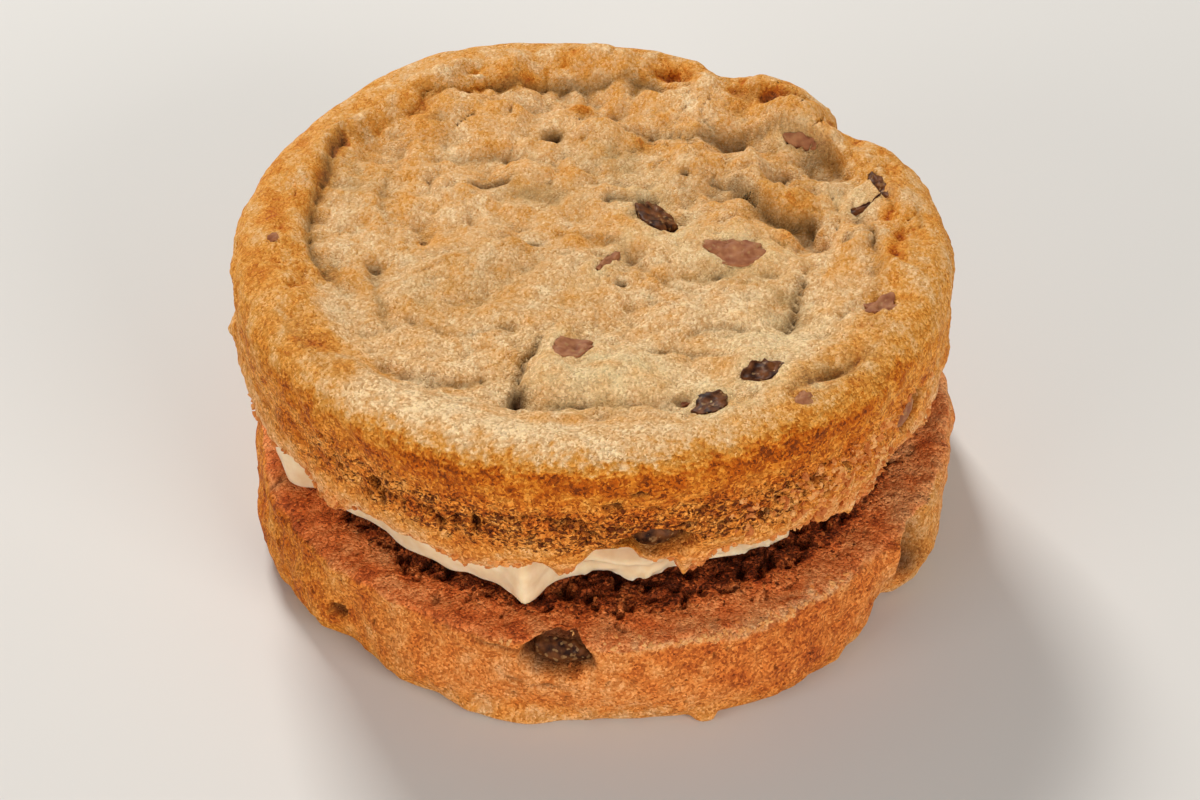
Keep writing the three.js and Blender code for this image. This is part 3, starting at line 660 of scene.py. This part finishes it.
# %% The lower cookie's form
# Holes are an angle, a height over the floor, a length, a height and a depth.
CHIP_HOLES_BELOW = [(-97.2, 10.5, 8.8, 4.4, 2.1), (74, 6.1, 6.2, 3.4, 2.2)]
SLITS_BELOW = [(-104.2, 7, 2, 0.7, 0.8), (-98.8, 6.65, 3.2, 0.7, 0.8), (-137.8, 5.6, 2.4, 1.6, 1)]
# Bumps at the foot are an angle, half a width in degrees, a height and how far they stand out.
FOOT_BUMPS = [(-105.5, 7.5, 1.6, 1.6), (-73.8, 1.9, 1.6, 1.7), (-113.5, 3, 3, 0.6), (-40, 5, 7, 0.5)]
lower = shaped_blank("lower_dough", "lower_cookie", edge=3.0, face_up=False, rim_width=5.0, sink=1.6)
fine_skin(lower, "lower_cookie", voxel=0.4, melts=12)

# %% Sculpt the lower cookie
points = points_of(lower)
facing = values_of(lower, "normal")[:, 2]
centred = points - LOWER_MIDDLE
x, y, z, radius, angle, away = round_the_axis(centred)
flat = flattened(x, y)
side = 1 - ramp(np.abs(facing), 0.45, 0.85)
base_up = ramp(facing, 0.4, 0.8)

# Open pores on the flat base: largest, deepest and darkest in painted shade by the ice cream, and rare near the edge.
open_crumb = 1 - ramp(radius, 33.5, 39.0)
pore_field = swell(flat, 1.6, 7.3) + 0.55 * swell(flat, 0.85, 2.7)
base_pore = ramp(pore_field, 0.62 - 0.5 * open_crumb, 0.78 - 0.42 * open_crumb) * base_up
move = np.zeros_like(points)
move[:, 2] -= 1.2 * base_pore * (0.35 + 0.65 * open_crumb)
move[:, 2] -= base_up * 0.35 * (cells(flat, 1.4, 3.3) - 0.5)
move[:, 2] += base_up * (0.4 * swell(flat, 4.5, 6.2) + 0.2 * swell(flat, 1.6, 1.7))

# The side: fine crumb, a few slivers, the holes of the chips, the fold on the right and the bumps at the foot.
outwards = 0.14 * (0.5 - cells(centred, 1.1, 1.9)) + 0.5 * swell(centred, 4.4, 4.8) + 0.3 * swell(centred, 1.8, 2.1)
side_pore = ramp(swell(centred, 0.8, 3.7) + 0.4 * swell(centred, 1.9, 8.1), 0.62, 0.8) * side
outwards -= 0.3 * side_pore
# Painted shade in the side's pores, and below in its slits and chip holes.
side_painted_shade = 0.7 * side_pore
dug = np.zeros(len(x))
for at, level, length, tall, deep in SLITS_BELOW + CHIP_HOLES_BELOW:
    gap = from_hole(angle, z, LOWER_RADIUS, at, level, length, tall)
    inside = ramp(1.1 - gap + 0.15 * swell(centred, 1.4, at), 0, 0.22)
    outwards *= 1 - inside
    dug = np.maximum(dug, deep * inside * ramp(radius, 37.0, 40.4))
    side_painted_shade = np.maximum(side_painted_shade, inside * ramp(radius, 39.4, 40.4) * min(1, deep / 1.2))
outwards -= 3.0 * sector(angle, -29.0 + 0.5 * (z - 9), 3.0, 2) * ramp(z, 3, 7) * side
outwards += 1.2 * sector(angle, -35.6, 1.8, 2) * ramp(z, 4, 9) * side
# The fold's hollow and a thin groove left of the front chip are darkened with painted shade.
fold_painted_shade = sector(angle, -29.5, 3.4, 2) * ramp(z, 2.5, 5.5) * (1 - ramp(z, 9.5, 12.5)) * side
tail = bell(z - 11.2 + 0.08 * turn_from(angle, -107), 0, 0.3) * side * sector(angle, -107, 4.5)
outwards -= 0.5 * tail
side_painted_shade = np.maximum(side_painted_shade, np.maximum(fold_painted_shade, 0.7 * tail))
foot = sum(more * sector(angle, at, half) * bell(z, 0, tall) for at, half, tall, more in FOOT_BUMPS)
move += away * (outwards * side - dug + foot * ramp(radius, 36, 39))[:, None]

# The upper edge is scuffed to pale crumbs at the front right.
line = 12.1 + 0.3 * swell(flat, 3.0, 4.1)
scuff = sector(angle, -67, 21) * bell(z, line, 0.38) * ramp(radius, 37.5, 40)
corner = bell(z, 12.4, 1.0) * ramp(radius, 38, 40.5)
move += away * (0.6 * corner * swell(centred, 2.0, 5.9) + 0.4 * scuff * swell(centred, 0.8, 1.7))[:, None]
move[:, 2] += 0.35 * scuff * swell(centred, 1.1, 3.1)

# The hidden baked face, underneath.
face_down = ramp(-facing, 0.35, 0.8) * (1 - ramp(radius, 33, 36))
under = 0.6 * swell(flat, 4.5, 1.4) + 1.0 * (np.abs(swell(flat, 3.0, 6.4)) - 0.2)
move[:, 2] -= face_down * under
points = points + move
points[:, 2] = np.maximum(points[:, 2], 0)
move_to(lower, points)

# %% Brown the lower cookie, and paint its shade
toast = 0.50 + 0.18 * swell(centred, 7, 2.5) + 0.18 * swell(centred, 2.2, 6.5)
toast += base_up * (0.02 + 0.2 * swell(flat, 3, 8.8)) - 0.14 * (1 - ramp(z, 0, 5)) * (1 - base_up)
# Painted shadow: the base is browner and darker where the ice cream overhangs it.
cream_overhang_shadow = 1 - ramp(radius + 1.2 * swell(flat, 2.0, 4.3), 33.2, 36.4)
toast += 0.3 * cream_overhang_shadow * base_up
toast -= 0.5 * scuff * (0.6 + 1.4 * swell(centred, 0.7, 4.4)) + 0.06 * ramp(x, 5, 30) * base_up
left_side = sector(angle, 180, 50)
toast += 0.20 * left_side * (1 - base_up) - 0.12 * ramp(angle, -38, -22) * (1 - ramp(angle, 10, 40))
toast += 0.14 * sector(angle, -58, 16) * side
toast = toast * (1 - face_down) + (0.3 + 0.12 * under) * face_down
# depth is painted shade: pores, holes, the fold and the base under the ice cream's overhang.
depth = np.maximum(np.maximum(base_pore * (0.5 + 0.5 * open_crumb), side_painted_shade), 0.45 * cream_overhang_shadow * base_up)
red = 0.65 + 0.35 * base_up - 0.4 * (1 - ramp(z, 0, 5)) * (1 - base_up) - 0.6 * left_side * (1 - base_up)
red -= 0.4 * sector(angle, -22, 7) * side
mark(
    lower,
    toast=np.clip(toast, 0, 1),
    depth=np.clip(depth, 0, 1),
    sandy=np.full(len(x), 0.95),
    pale=np.clip(0.35 * scuff * (0.3 + 2.4 * swell(centred, 0.9, 6.6)), 0, 1),
    # Olive here is painted shade in the hollow of the fold.
    olive=0.15 * sector(angle, -26, 5) * ramp(z, 2, 6) * side,
    red=np.clip(red - face_down, 0, 1),
    porous=np.clip(0.3 * side + (0.35 + 0.65 * open_crumb) * base_up, 0, 1),
)
print("lower cookie sculpted, pores cover", round(100 * float(base_pore[base_up > 0.9].mean())), "% of its base")

# %% [markdown]
# ## The ice cream
#
# The slab was cut cold from a sheet and then softened, so its wall is smooth with rounded lips. On the left it
# bulges out in a blob, at the front a tongue reaches out to a point and touches the lower cookie, and right of that
# point the slab is lifted clear of the lower cookie, which leaves a dark gap.

# %% Model the ice cream
# How far out the slab's lower edge reaches, as angle and radius.
CREAM_EDGE = [
    (-180, 38.8), (-169, 39.5), (-158, 39.6), (-154, 37.2), (-146, 36), (-132, 35.2), (-119, 35.6), (-110, 36),
    (-106, 36.6), (-102.7, 37.2), (-99.8, 34.2), (-95.5, 32.8), (-91, 31.9), (-84, 32.4), (-78, 32.6), (-75.5, 31.8),
    (-71, 32), (-62, 32.7), (-52, 33.7), (-47, 32.6), (-38, 29.5),
]
# Dents in the wall are an angle, a height over the floor and a width.
CREAM_DENTS = [(-100.5, 16.1, 0.9), (-117.3, 17, 1.3), (-108.5, 17.6, 0.8), (-96, 15.4, 0.6)]
cream = shaped_blank("vanilla_slab", "ice_cream", edge=1.0)
fine_skin(cream, "ice_cream", voxel=0.45, melts=16)
points = points_of(cream)
centred = points - MIDDLE
x, y, z, radius, angle, away = round_the_axis(centred)
outer = ramp(radius, 22, 29)
share_up = np.clip((z - (LOWER_THICK + GAP)) / CREAM_THICK, 0, 1)
wall = 1 - ramp(np.abs(values_of(cream, "normal")[:, 2]), 0.3, 0.8)

# Only the side that shows is drawn: from the left, through the front, to where it meets the slab's own edge again.
on_wall = (share_up > 0.3) & (share_up < 0.7) & (radius > 25)
rounds = np.arange(-180, 181, 3)
reached = [radius[on_wall & (np.abs(turn_from(angle, at)) < 2.5)].max() for at in rounds]
now = np.interp(angle, rounds, reached)
wanted = np.where(angle < -38, np.interp(angle, *smooth_line(CREAM_EDGE).T), now)
wanted = wanted + (now - wanted) * ramp(angle, -46, -38)
points += away * ((wanted - now) * ramp(radius / now, 0.75, 1.0))[:, None]

# The tongue touches the lower cookie, and the rest of the lower edge is lifted off it and torn.
shown = ramp(angle, -150, -144) * (1 - ramp(angle, -46, -40))
tip = sector(angle, -102.7, 2.6, 2)
lifted = shown * (1 - tip) * outer * (1 - share_up) ** 1.5
points[:, 2] += lifted * (1.2 + 0.5 * swell(centred, 3.0, 2.2))
soft = 0.3 * swell(centred, 7, 3.8) + 0.1 * swell(centred, 2.4, 5.5)
lip = sector(angle, -86, 9) * bell(share_up, 0.5, 0.12)
torn_right = shown * ramp(angle, -97, -92) * (1 - share_up) ** 2
ragged = torn_right * (0.9 * swell(centred, 1.6, 7.1) + 0.5 * swell(centred, 0.8, 4.0))
edge = shown * bell(share_up, 0, 0.1)
points += away * ((soft + ragged + 0.3 * edge + 0.7 * tip * (1 - share_up) ** 2 + 1.4 * lip) * wall)[:, None]
points[:, 2] += 0.35 * outer * (share_up > 0.97)
for at, level, wide in CREAM_DENTS:
    dent = sector(angle, at, wide / 0.6, 2) * bell(z, level, 0.5 * wide) * wall
    points -= away * (0.7 * dent)[:, None]
move_to(cream, points)
print("ice cream wall reaches", round(float(radius.max()), 1), "mm from the middle")

# %% [markdown]
# ## Chocolate chips
#
# A chip that bakes on the surface softens, slumps and sets again, so it is a low rounded morsel, and not the pointed
# drop that went in. One is modelled from an icosphere, and every chip is a copy of it with its own size, turn and
# wrinkles. The dark ones crack and wrinkle most. The milk ones stay smooth and reddish.


# %% Model one chip and copy it
def morsel(name, subdivisions):
    bpy.ops.mesh.primitive_ico_sphere_add(subdivisions=subdivisions, radius=0.5 * MM)
    bpy.context.object.name = name
    return bpy.context.object


def joined(name, pieces, smooth=True):
    only(pieces[0])
    for piece in pieces:
        piece.select_set(True)
    bpy.ops.object.join()
    whole = bpy.context.object
    whole.name = name
    whole.data.polygons.foreach_set("use_smooth", [smooth] * len(whole.data.polygons))
    return whole


def copied(model, points):
    copy = model.copy()
    copy.data = model.data.copy()
    bpy.context.scene.collection.objects.link(copy)
    move_to(copy, points)
    return copy


def rounded_chip(model, size, turn, place, wrinkle, seed):
    shape = points_of(model) * np.array(size)
    rough = wrinkle * (0.6 * swell(shape, 1.4, seed) + 0.4 * swell(shape, 0.7, seed + 5))
    shape = shape * (1 + 0.12 * swell(shape, 3.0, seed + 9) + rough)[:, None]
    return copied(model, shape @ np.array(Matrix.Rotation(turn, 3, "Z")).T + np.array(place))


def surface_point(tree, start, direction):
    hit = tree.ray_cast(start, direction)[0]
    return None if hit is None else np.array(hit) / MM


def on_round(origin, around, out, level):
    return origin + np.array([out * math.cos(around), out * math.sin(around), level])


model = morsel("chip_model", 4)
bpy.context.view_layer.update()
upper_tree = BVHTree.FromObject(upper, bpy.context.evaluated_depsgraph_get())
lower_tree = BVHTree.FromObject(lower, bpy.context.evaluated_depsgraph_get())
upper_up = Vector(UPPER_TURN[:, 2])

# %% [markdown]
# On the baked face the dough has crept over the edge of each chip. So a curved sheet is fitted to the dough round
# the chip's place, the chip's top is drawn a little above it, and noise breaks its outline like the dough's grit.


# %% Set the chips into the face
def sheet(x, y):
    return np.column_stack([np.ones(len(x)), x, y, x * x, x * y, y * y])


def level_of_dough(at_x, at_y, reach):
    offsets = [(dx, dy) for dx in np.linspace(-1, 1, 7) for dy in np.linspace(-1, 1, 7) if dx * dx + dy * dy < 1.2]
    places = np.array([(at_x + reach * dx, at_y + reach * dy) for dx, dy in offsets])
    starts = [Vector(from_upper(np.array([*place, 25.0]))) * MM for place in places]
    heights = [to_upper(surface_point(upper_tree, start, -upper_up))[2] for start in starts]
    return np.linalg.lstsq(sheet(*(places - (at_x, at_y)).T), np.array(heights), rcond=None)[0]


def sunk_chip(model, row, seed):
    at_x, at_y, length, width, turn, stands, _ = row
    ball = points_of(model) * 2
    around = Matrix.Rotation(math.radians(turn), 3, "Z")
    edge = 1 + 0.35 * swell(ball * (1, 1, 0), 0.9, seed) + 0.30 * swell(ball * (1, 1, 0), 0.4, seed + 3)
    shape = ball * np.array([length / 2, width / 2, 1.0]) * np.column_stack([edge, edge, np.ones(len(ball))])
    shape = shape @ np.array(around).T
    x, y = shape[:, 0], shape[:, 1]
    level = sheet(x, y) @ level_of_dough(at_x, at_y, 0.5 * max(length, width) + 0.3)
    crown = np.sqrt(np.clip(ball[:, 2], 0, 1))
    top = (0.02 + stands + 0.4 * swell(shape, 1.1, seed + 2) + 0.25 * swell(shape, 0.5, seed + 4)) * crown
    height = level + np.where(ball[:, 2] > 0, top, 1.1 * ball[:, 2])
    return copied(model, from_upper(np.column_stack([at_x + x, at_y + y, height])))


CHIP_TALL = 2.0
chips = {"dark": [], "milk": []}
for number, row in enumerate(FACE_CHIPS):
    chips[row[-1]].append(sunk_chip(model, row, 10.3 + number))
# Chips in the side's holes are the cookie's middle, angle, height, length, how tall, how far out and the kind.
HOLE_CHIPS = [
    (UPPER_ORIGIN, -80.4, 3.4, 8.8, 3.4, 37.0, "dark"),
    (UPPER_ORIGIN, -27.0, 5.0, 5.6, 3.8, 39.0, "milk"),
    (UPPER_ORIGIN, 118.0, 5.5, 5.2, 2.9, 38.6, "dark"),
    (LOWER_MIDDLE, -96.8, 10.2, 7.0, 3.3, 38.9, "dark"),
    (LOWER_MIDDLE, 74.0, 6.1, 5.4, 3.0, 38.6, "dark"),
]
for number, (origin, at, level, length, tall, out, kind) in enumerate(HOLE_CHIPS):
    around = math.radians(at)
    place = on_round(origin, around, out, level)
    chips[kind].append(rounded_chip(model, (length, 3.0, tall), around + math.pi / 2, place, 0.3, 40.0 + number))
# The hidden face has chips too. Each turns by the golden angle from the last, which spreads them evenly.
UNDER_CHIPS = 7
for number in range(UNDER_CHIPS):
    around = -math.radians(50 + 137.5 * number)
    place = on_round(LOWER_MIDDLE, around, 27 * math.sqrt((number + 0.5) / UNDER_CHIPS), -5)
    place[2] = surface_point(lower_tree, Vector(place) * MM, Vector((0, 0, 1)))[2] - 0.15 + CHIP_TALL / 2
    kind = "dark" if number % 2 else "milk"
    chips[kind].append(rounded_chip(model, (5, 3.2, CHIP_TALL), around * 3, place, 0.2, 60.0 + number))
bpy.data.objects.remove(model)
dark_chips = joined("dark_chips", chips["dark"])
milk_chips = joined("milk_chips", chips["milk"])
print(len(chips["dark"]), "dark chips and", len(chips["milk"]), "milk chips")

# %% [markdown]
# ## Crumbs
#
# Crumbs hang from the torn edge of the upper cookie and lie on the lower one. They are too many to place by hand, so
# a seeded draw picks an angle and a height, a ray finds the surface there, and one of a few small crumb models is
# set into it, half sunk.


# %% Scatter the crumbs
def crumb(size, place, seed, shade):
    shape = points_of(crumb_model)
    shape = shape * (1 + 1.1 * swell(shape, 0.45, seed) + 0.5 * swell(shape, 0.2, seed))[:, None]
    shape = shape * size * (1.1, 0.6 + (seed * 3.7) % 0.5, 0.5 + (seed * 5.3) % 0.5)
    shape = shape @ np.array(Matrix.Rotation(seed, 3, "Z") @ Matrix.Rotation(seed * 2.1, 3, "X")).T
    made = copied(crumb_model, shape + place)
    mark(made, shade=np.full(len(shape), shade))
    return made


def side_point(tree, origin, around, level):
    direction = Vector((math.cos(around), math.sin(around), 0))
    start = Vector(origin) * MM + direction * 60 * MM + Vector((0, 0, level * MM))
    return surface_point(tree, start, -direction)


draw = random.Random(7)
even, gauss = draw.uniform, draw.gauss
crumb_model = morsel("crumb_model", 2)
crumbs = []
# Each row is a count, a cookie and its middle, and how an angle, a height, a size and a shade are drawn.
for count, tree, origin, *draws in [
    (230, upper_tree, UPPER_ORIGIN, (even, -165, -15), (even, -0.4, 1.6), (even, 0.4, 1.1), (even, 0.3, 0.8)),
    (300, upper_tree, UPPER_ORIGIN, (gauss, -46, 10), (even, 0.0, 9.0), (even, 0.35, 1.1), (even, 0.1, 0.9)),
    (110, lower_tree, LOWER_MIDDLE, (gauss, -68, 11), (gauss, 12.1, 0.2), (even, 0.3, 0.75), (even, 0.0, 0.4)),
]:
    for number in range(count):
        at, level, size, shade = [drawn(first, second) for drawn, first, second in draws]
        around = math.radians(at)
        place = side_point(tree, origin, around, level)
        if place is not None:
            crumbs.append(crumb(size, on_round(place, around, -0.2 * size, 0), number + 0.37, shade))
LOOSE_CRUMBS = 70
for number in range(LOOSE_CRUMBS):
    around = math.radians(even(-170, 0))
    start = on_round(LOWER_MIDDLE, around, even(33, 41), 14.5)
    place = surface_point(lower_tree, Vector(start) * MM, Vector((0, 0, -1)))
    if place is not None:
        size = even(0.3, 0.7)
        crumbs.append(crumb(size, place - (0, 0, 0.2 * size), number + 0.53, even(0.6, 1.0)))
bpy.data.objects.remove(crumb_model)
loose_crumbs = joined("crumbs", crumbs, smooth=False)
print(len(crumbs), "crumbs")

# %% [markdown]
# ## Finishes
#
# Baked dough is a matt, slightly waxy surface. Fine grains of flour and sugar catch the light, so grains of 0.28 mm
# go into the bump and the colour. The crust ramp runs from pale sand through gold to amber, and a second, redder
# ramp serves where dough baked against metal.


# %% Node helpers
def material(name):
    made = bpy.data.materials.new(name)
    made.use_nodes = True
    made.node_tree.nodes.clear()
    return made, made.node_tree, add_node(made.node_tree, "ShaderNodeTexCoord").outputs["Object"]


def layer(tree, name):
    return add_node(tree, "ShaderNodeAttribute", attribute_name=name).outputs["Fac"]


def colour_ramp(tree, source, stops):
    made = add_node(tree, "ShaderNodeValToRGB", {"Fac": source})
    elements = made.color_ramp.elements
    while len(elements) < len(stops):
        elements.new(1.0)
    for element, (place, colour) in zip(elements, stops):
        element.position = place
        element.color = linear(colour)
    return made.outputs["Color"]


def mixed(tree, share, first, second):
    made = add_node(tree, "ShaderNodeMix", {"Factor": share, 6: first}, data_type="RGBA")
    if isinstance(second, str):
        made.inputs[7].default_value = linear(second)
    else:
        tree.links.new(second, made.inputs[7])
    return made.outputs[2]


def scaled(tree, source, factor, shift=0.0):
    made = add_node(tree, "ShaderNodeMath", {0: source}, operation="MULTIPLY_ADD")
    made.inputs[1].default_value = factor
    made.inputs[2].default_value = shift
    return made.outputs[0]


def combined(tree, first, second, operation="ADD"):
    return add_node(tree, "ShaderNodeMath", {0: first, 1: second}, operation=operation).outputs[0]


def noise_of(tree, place, size, detail, roughness=0.5):
    scale = 1 / (size * MM)
    return add_node(tree, "ShaderNodeTexNoise", {"Vector": place}, Scale=scale, Detail=detail, Roughness=roughness)


def grains_of(tree, place, size):
    made = add_node(tree, "ShaderNodeTexVoronoi", {"Vector": place}, Scale=1 / (size * MM))
    return made.outputs["Distance"], made.outputs["Color"]


def surface(tree, colour, roughness, ior, bump=None, **more):
    links = {"Base Color": colour}
    if bump:
        height, strength, reach = bump
        bumps = add_node(tree, "ShaderNodeBump", {"Height": height}, Strength=strength, Distance=reach * MM)
        links["Normal"] = bumps.outputs["Normal"]
    shader = add_node(tree, "ShaderNodeBsdfPrincipled", links, Roughness=roughness, IOR=ior, **more)
    add_node(tree, "ShaderNodeOutputMaterial", {"Surface": shader.outputs["BSDF"]})


# %% Baked dough
GOLDEN = [(0.0, "#F2D2A2"), (0.2, "#E3B37A"), (0.42, "#E09C44"), (0.62, "#D07E22"), (0.82, "#B85806"), (1.0, "#7C3606")]
REDDISH = [(0.0, "#EBAA70"), (0.3, "#E6965A"), (0.55, "#DE783A"), (0.78, "#B85628"), (1.0, "#5E2410")]


def baked_dough(name):
    made, tree, place = material(name)

    # Fine sand, each cell a rounded grain with its own brightness, on top of clumps and wide patches.
    wobble = noise_of(tree, place, 0.5, 1.0).outputs["Color"]
    shifted = add_node(tree, "ShaderNodeVectorMath", {0: wobble, 2: place}, operation="MULTIPLY_ADD")
    shifted.inputs[1].default_value = (0.4 * MM, 0.4 * MM, 0.4 * MM)
    place_bent = shifted.outputs[0]
    sand, sand_tone = grains_of(tree, place_bent, 0.28)
    clump, clump_tone = grains_of(tree, place_bent, 1.1)
    patches = noise_of(tree, place, 2.6, 5.0, 0.6).outputs["Fac"]
    speckle = combined(tree, scaled(tree, clump_tone, 0.12, -0.06), scaled(tree, patches, 0.6, -0.3))
    speckle = combined(tree, speckle, scaled(tree, sand_tone, -0.34, 0.17))
    browning = combined(tree, layer(tree, "toast"), speckle)
    golden, reddish = colour_ramp(tree, browning, GOLDEN), colour_ramp(tree, browning, REDDISH)
    crust = mixed(tree, layer(tree, "red"), golden, reddish)
    # Pale is partly painted light, olive partly chocolate stain and partly painted shade, and depth is painted shade.
    for tint_layer, share, colour in (("pale", 0.85, "#E6CD9A"), ("olive", 0.65, "#AC8C58"), ("depth", 0.9, "#45200C")):
        crust = mixed(tree, scaled(tree, layer(tree, tint_layer), share), crust, colour)

    # Pores too small for the skin: round ones in some cells of a pattern, and gaps in a noise between them. Both
    # are squashed in height, and both are wider where the dough is more porous.
    squashed = add_node(tree, "ShaderNodeMapping", {"Vector": place_bent}, Scale=(1, 1, 1.9)).outputs[0]
    hole, hole_tone = grains_of(tree, squashed, 1.2)
    porous = layer(tree, "porous")
    reach = combined(tree, hole_tone, scaled(tree, porous, 0.6), "MULTIPLY")
    rim = combined(tree, scaled(tree, reach, 1.0, -0.1), hole, "SUBTRACT")
    gaps = noise_of(tree, squashed, 0.6, 3.0, 0.6).outputs["Fac"]
    gaps = combined(tree, gaps, scaled(tree, porous, 0.22, -0.78))
    pore = combined(tree, rim, gaps, "MAXIMUM")
    limits = {"From Min": -0.03, "From Max": 0.04}
    pinhole = add_node(tree, "ShaderNodeMapRange", {"Value": pore}, **limits).outputs["Result"]
    # The pinholes are painted shade, a dark brown laid where the pores are.
    crust = mixed(tree, scaled(tree, pinhole, 0.88), crust, "#5A2108")

    # Sugar and flour catch the light grain by grain, most of all where the crumb is open.
    # The grains' lightness is painted glints as much as their own tone, strongest on the front of the upper cookie.
    contrast = combined(tree, scaled(tree, porous, 0.6), scaled(tree, layer(tree, "sandy"), 0.55))
    glitter = combined(tree, scaled(tree, sand_tone, 1.0, -0.5), contrast, "MULTIPLY")
    lightness = scaled(tree, glitter, 1.0, 1.0)
    crust = add_node(tree, "ShaderNodeHueSaturation", {"Color": crust, "Value": lightness}).outputs["Color"]
    height = combined(tree, scaled(tree, sand, -0.35), scaled(tree, pinhole, -0.9))
    height = combined(tree, height, scaled(tree, clump, -0.4))
    glow = {"Subsurface Weight": 0.1, "Subsurface Radius": (1.0, 0.5, 0.25), "Subsurface Scale": 1.0 * MM}
    surface(tree, crust, 0.62, 1.45, (height, 1.0, 0.5), **glow, **{"Specular IOR Level": 0.14})
    return made


cookie_crust = baked_dough("baked_cookie_dough")
for dough in (upper, lower):
    dough.data.materials.append(cookie_crust)
print("baked dough on both cookies")

# %% [markdown]
# Ice cream is frozen milk, fat and air. Light goes a few millimetres in and comes out again, so it glows softly and
# its shadows are warm. It is matt where it is frosted and faintly glossy where it has begun to melt.

# %% Vanilla ice cream
vanilla, tree, place = material("vanilla_ice_cream")
air = noise_of(tree, place, 1.6, 3.0).outputs["Fac"]
tint = colour_ramp(tree, air, [(0.3, "#E8CA9E"), (0.7, "#F4DEBA")])
glow = {"Subsurface Weight": 0.6, "Subsurface Radius": (1.0, 0.75, 0.5), "Subsurface Scale": 2.0 * MM}
surface(tree, tint, 0.42, 1.35, (air, 0.25, 0.2), **glow)
cream.data.materials.append(vanilla)

# %% [markdown]
# Chocolate that melted in the oven and set again loses its shine in patches. Dark chips keep a dull gloss, and milk
# chips turn matt and reddish, with a thin pale bloom of fat.


# %% Chocolate
def chocolate(name, dark, light, roughness):
    made, tree, place = material(name)
    bloom = noise_of(tree, place, 1.2, 4.0).outputs["Fac"]
    tint = colour_ramp(tree, bloom, [(0.35, dark), (0.7, light)])
    stuck = colour_ramp(tree, grains_of(tree, place, 0.34)[1], [(0.78, "#000000"), (0.86, "#FFFFFF")])
    tint = mixed(tree, scaled(tree, stuck, 0.45), tint, "#B08A5A")
    surface(tree, tint, roughness, 1.45, (bloom, 0.5, 0.3), **{"Specular IOR Level": 0.16})
    return made


dark_chips.data.materials.append(chocolate("dark_chocolate", "#2A1208", "#7C4822", 0.5))
milk_chips.data.materials.append(chocolate("milk_chocolate", "#8A5236", "#B47C54", 0.6))

crumb_finish, tree, _ = material("cookie_crumb")
tint = colour_ramp(tree, layer(tree, "shade"), [(0.0, "#EFB670"), (0.5, "#D8863A"), (1.0, "#B05A22")])
surface(tree, tint, 0.75, 1.45)
loose_crumbs.data.materials.append(crumb_finish)

# %% [markdown]
# ## The pieces on the body
#
# Every piece rides on the one body, and each cookie and the slab stand for their solids.

# %% Ride, replace and finish
for piece, slot in (
    (upper, "cookie_crust"),
    (lower, "cookie_base"),
    (cream, "ice_cream"),
    (dark_chips, "cookie_crust"),
    (milk_chips, "cookie_crust"),
    (loose_crumbs, "cookie_crust"),
):
    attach(piece, "root")
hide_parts("upper_cookie")
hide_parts("lower_cookie")
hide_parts("ice_cream")
pieces = [upper, lower, cream, dark_chips, milk_chips, loose_crumbs]
corners = np.vstack([points_of(p) for p in pieces]) * MM
for piece in pieces:
    faces = sum(len(face.vertices) - 2 for face in piece.data.polygons)
    print(piece.name, faces, "triangles")
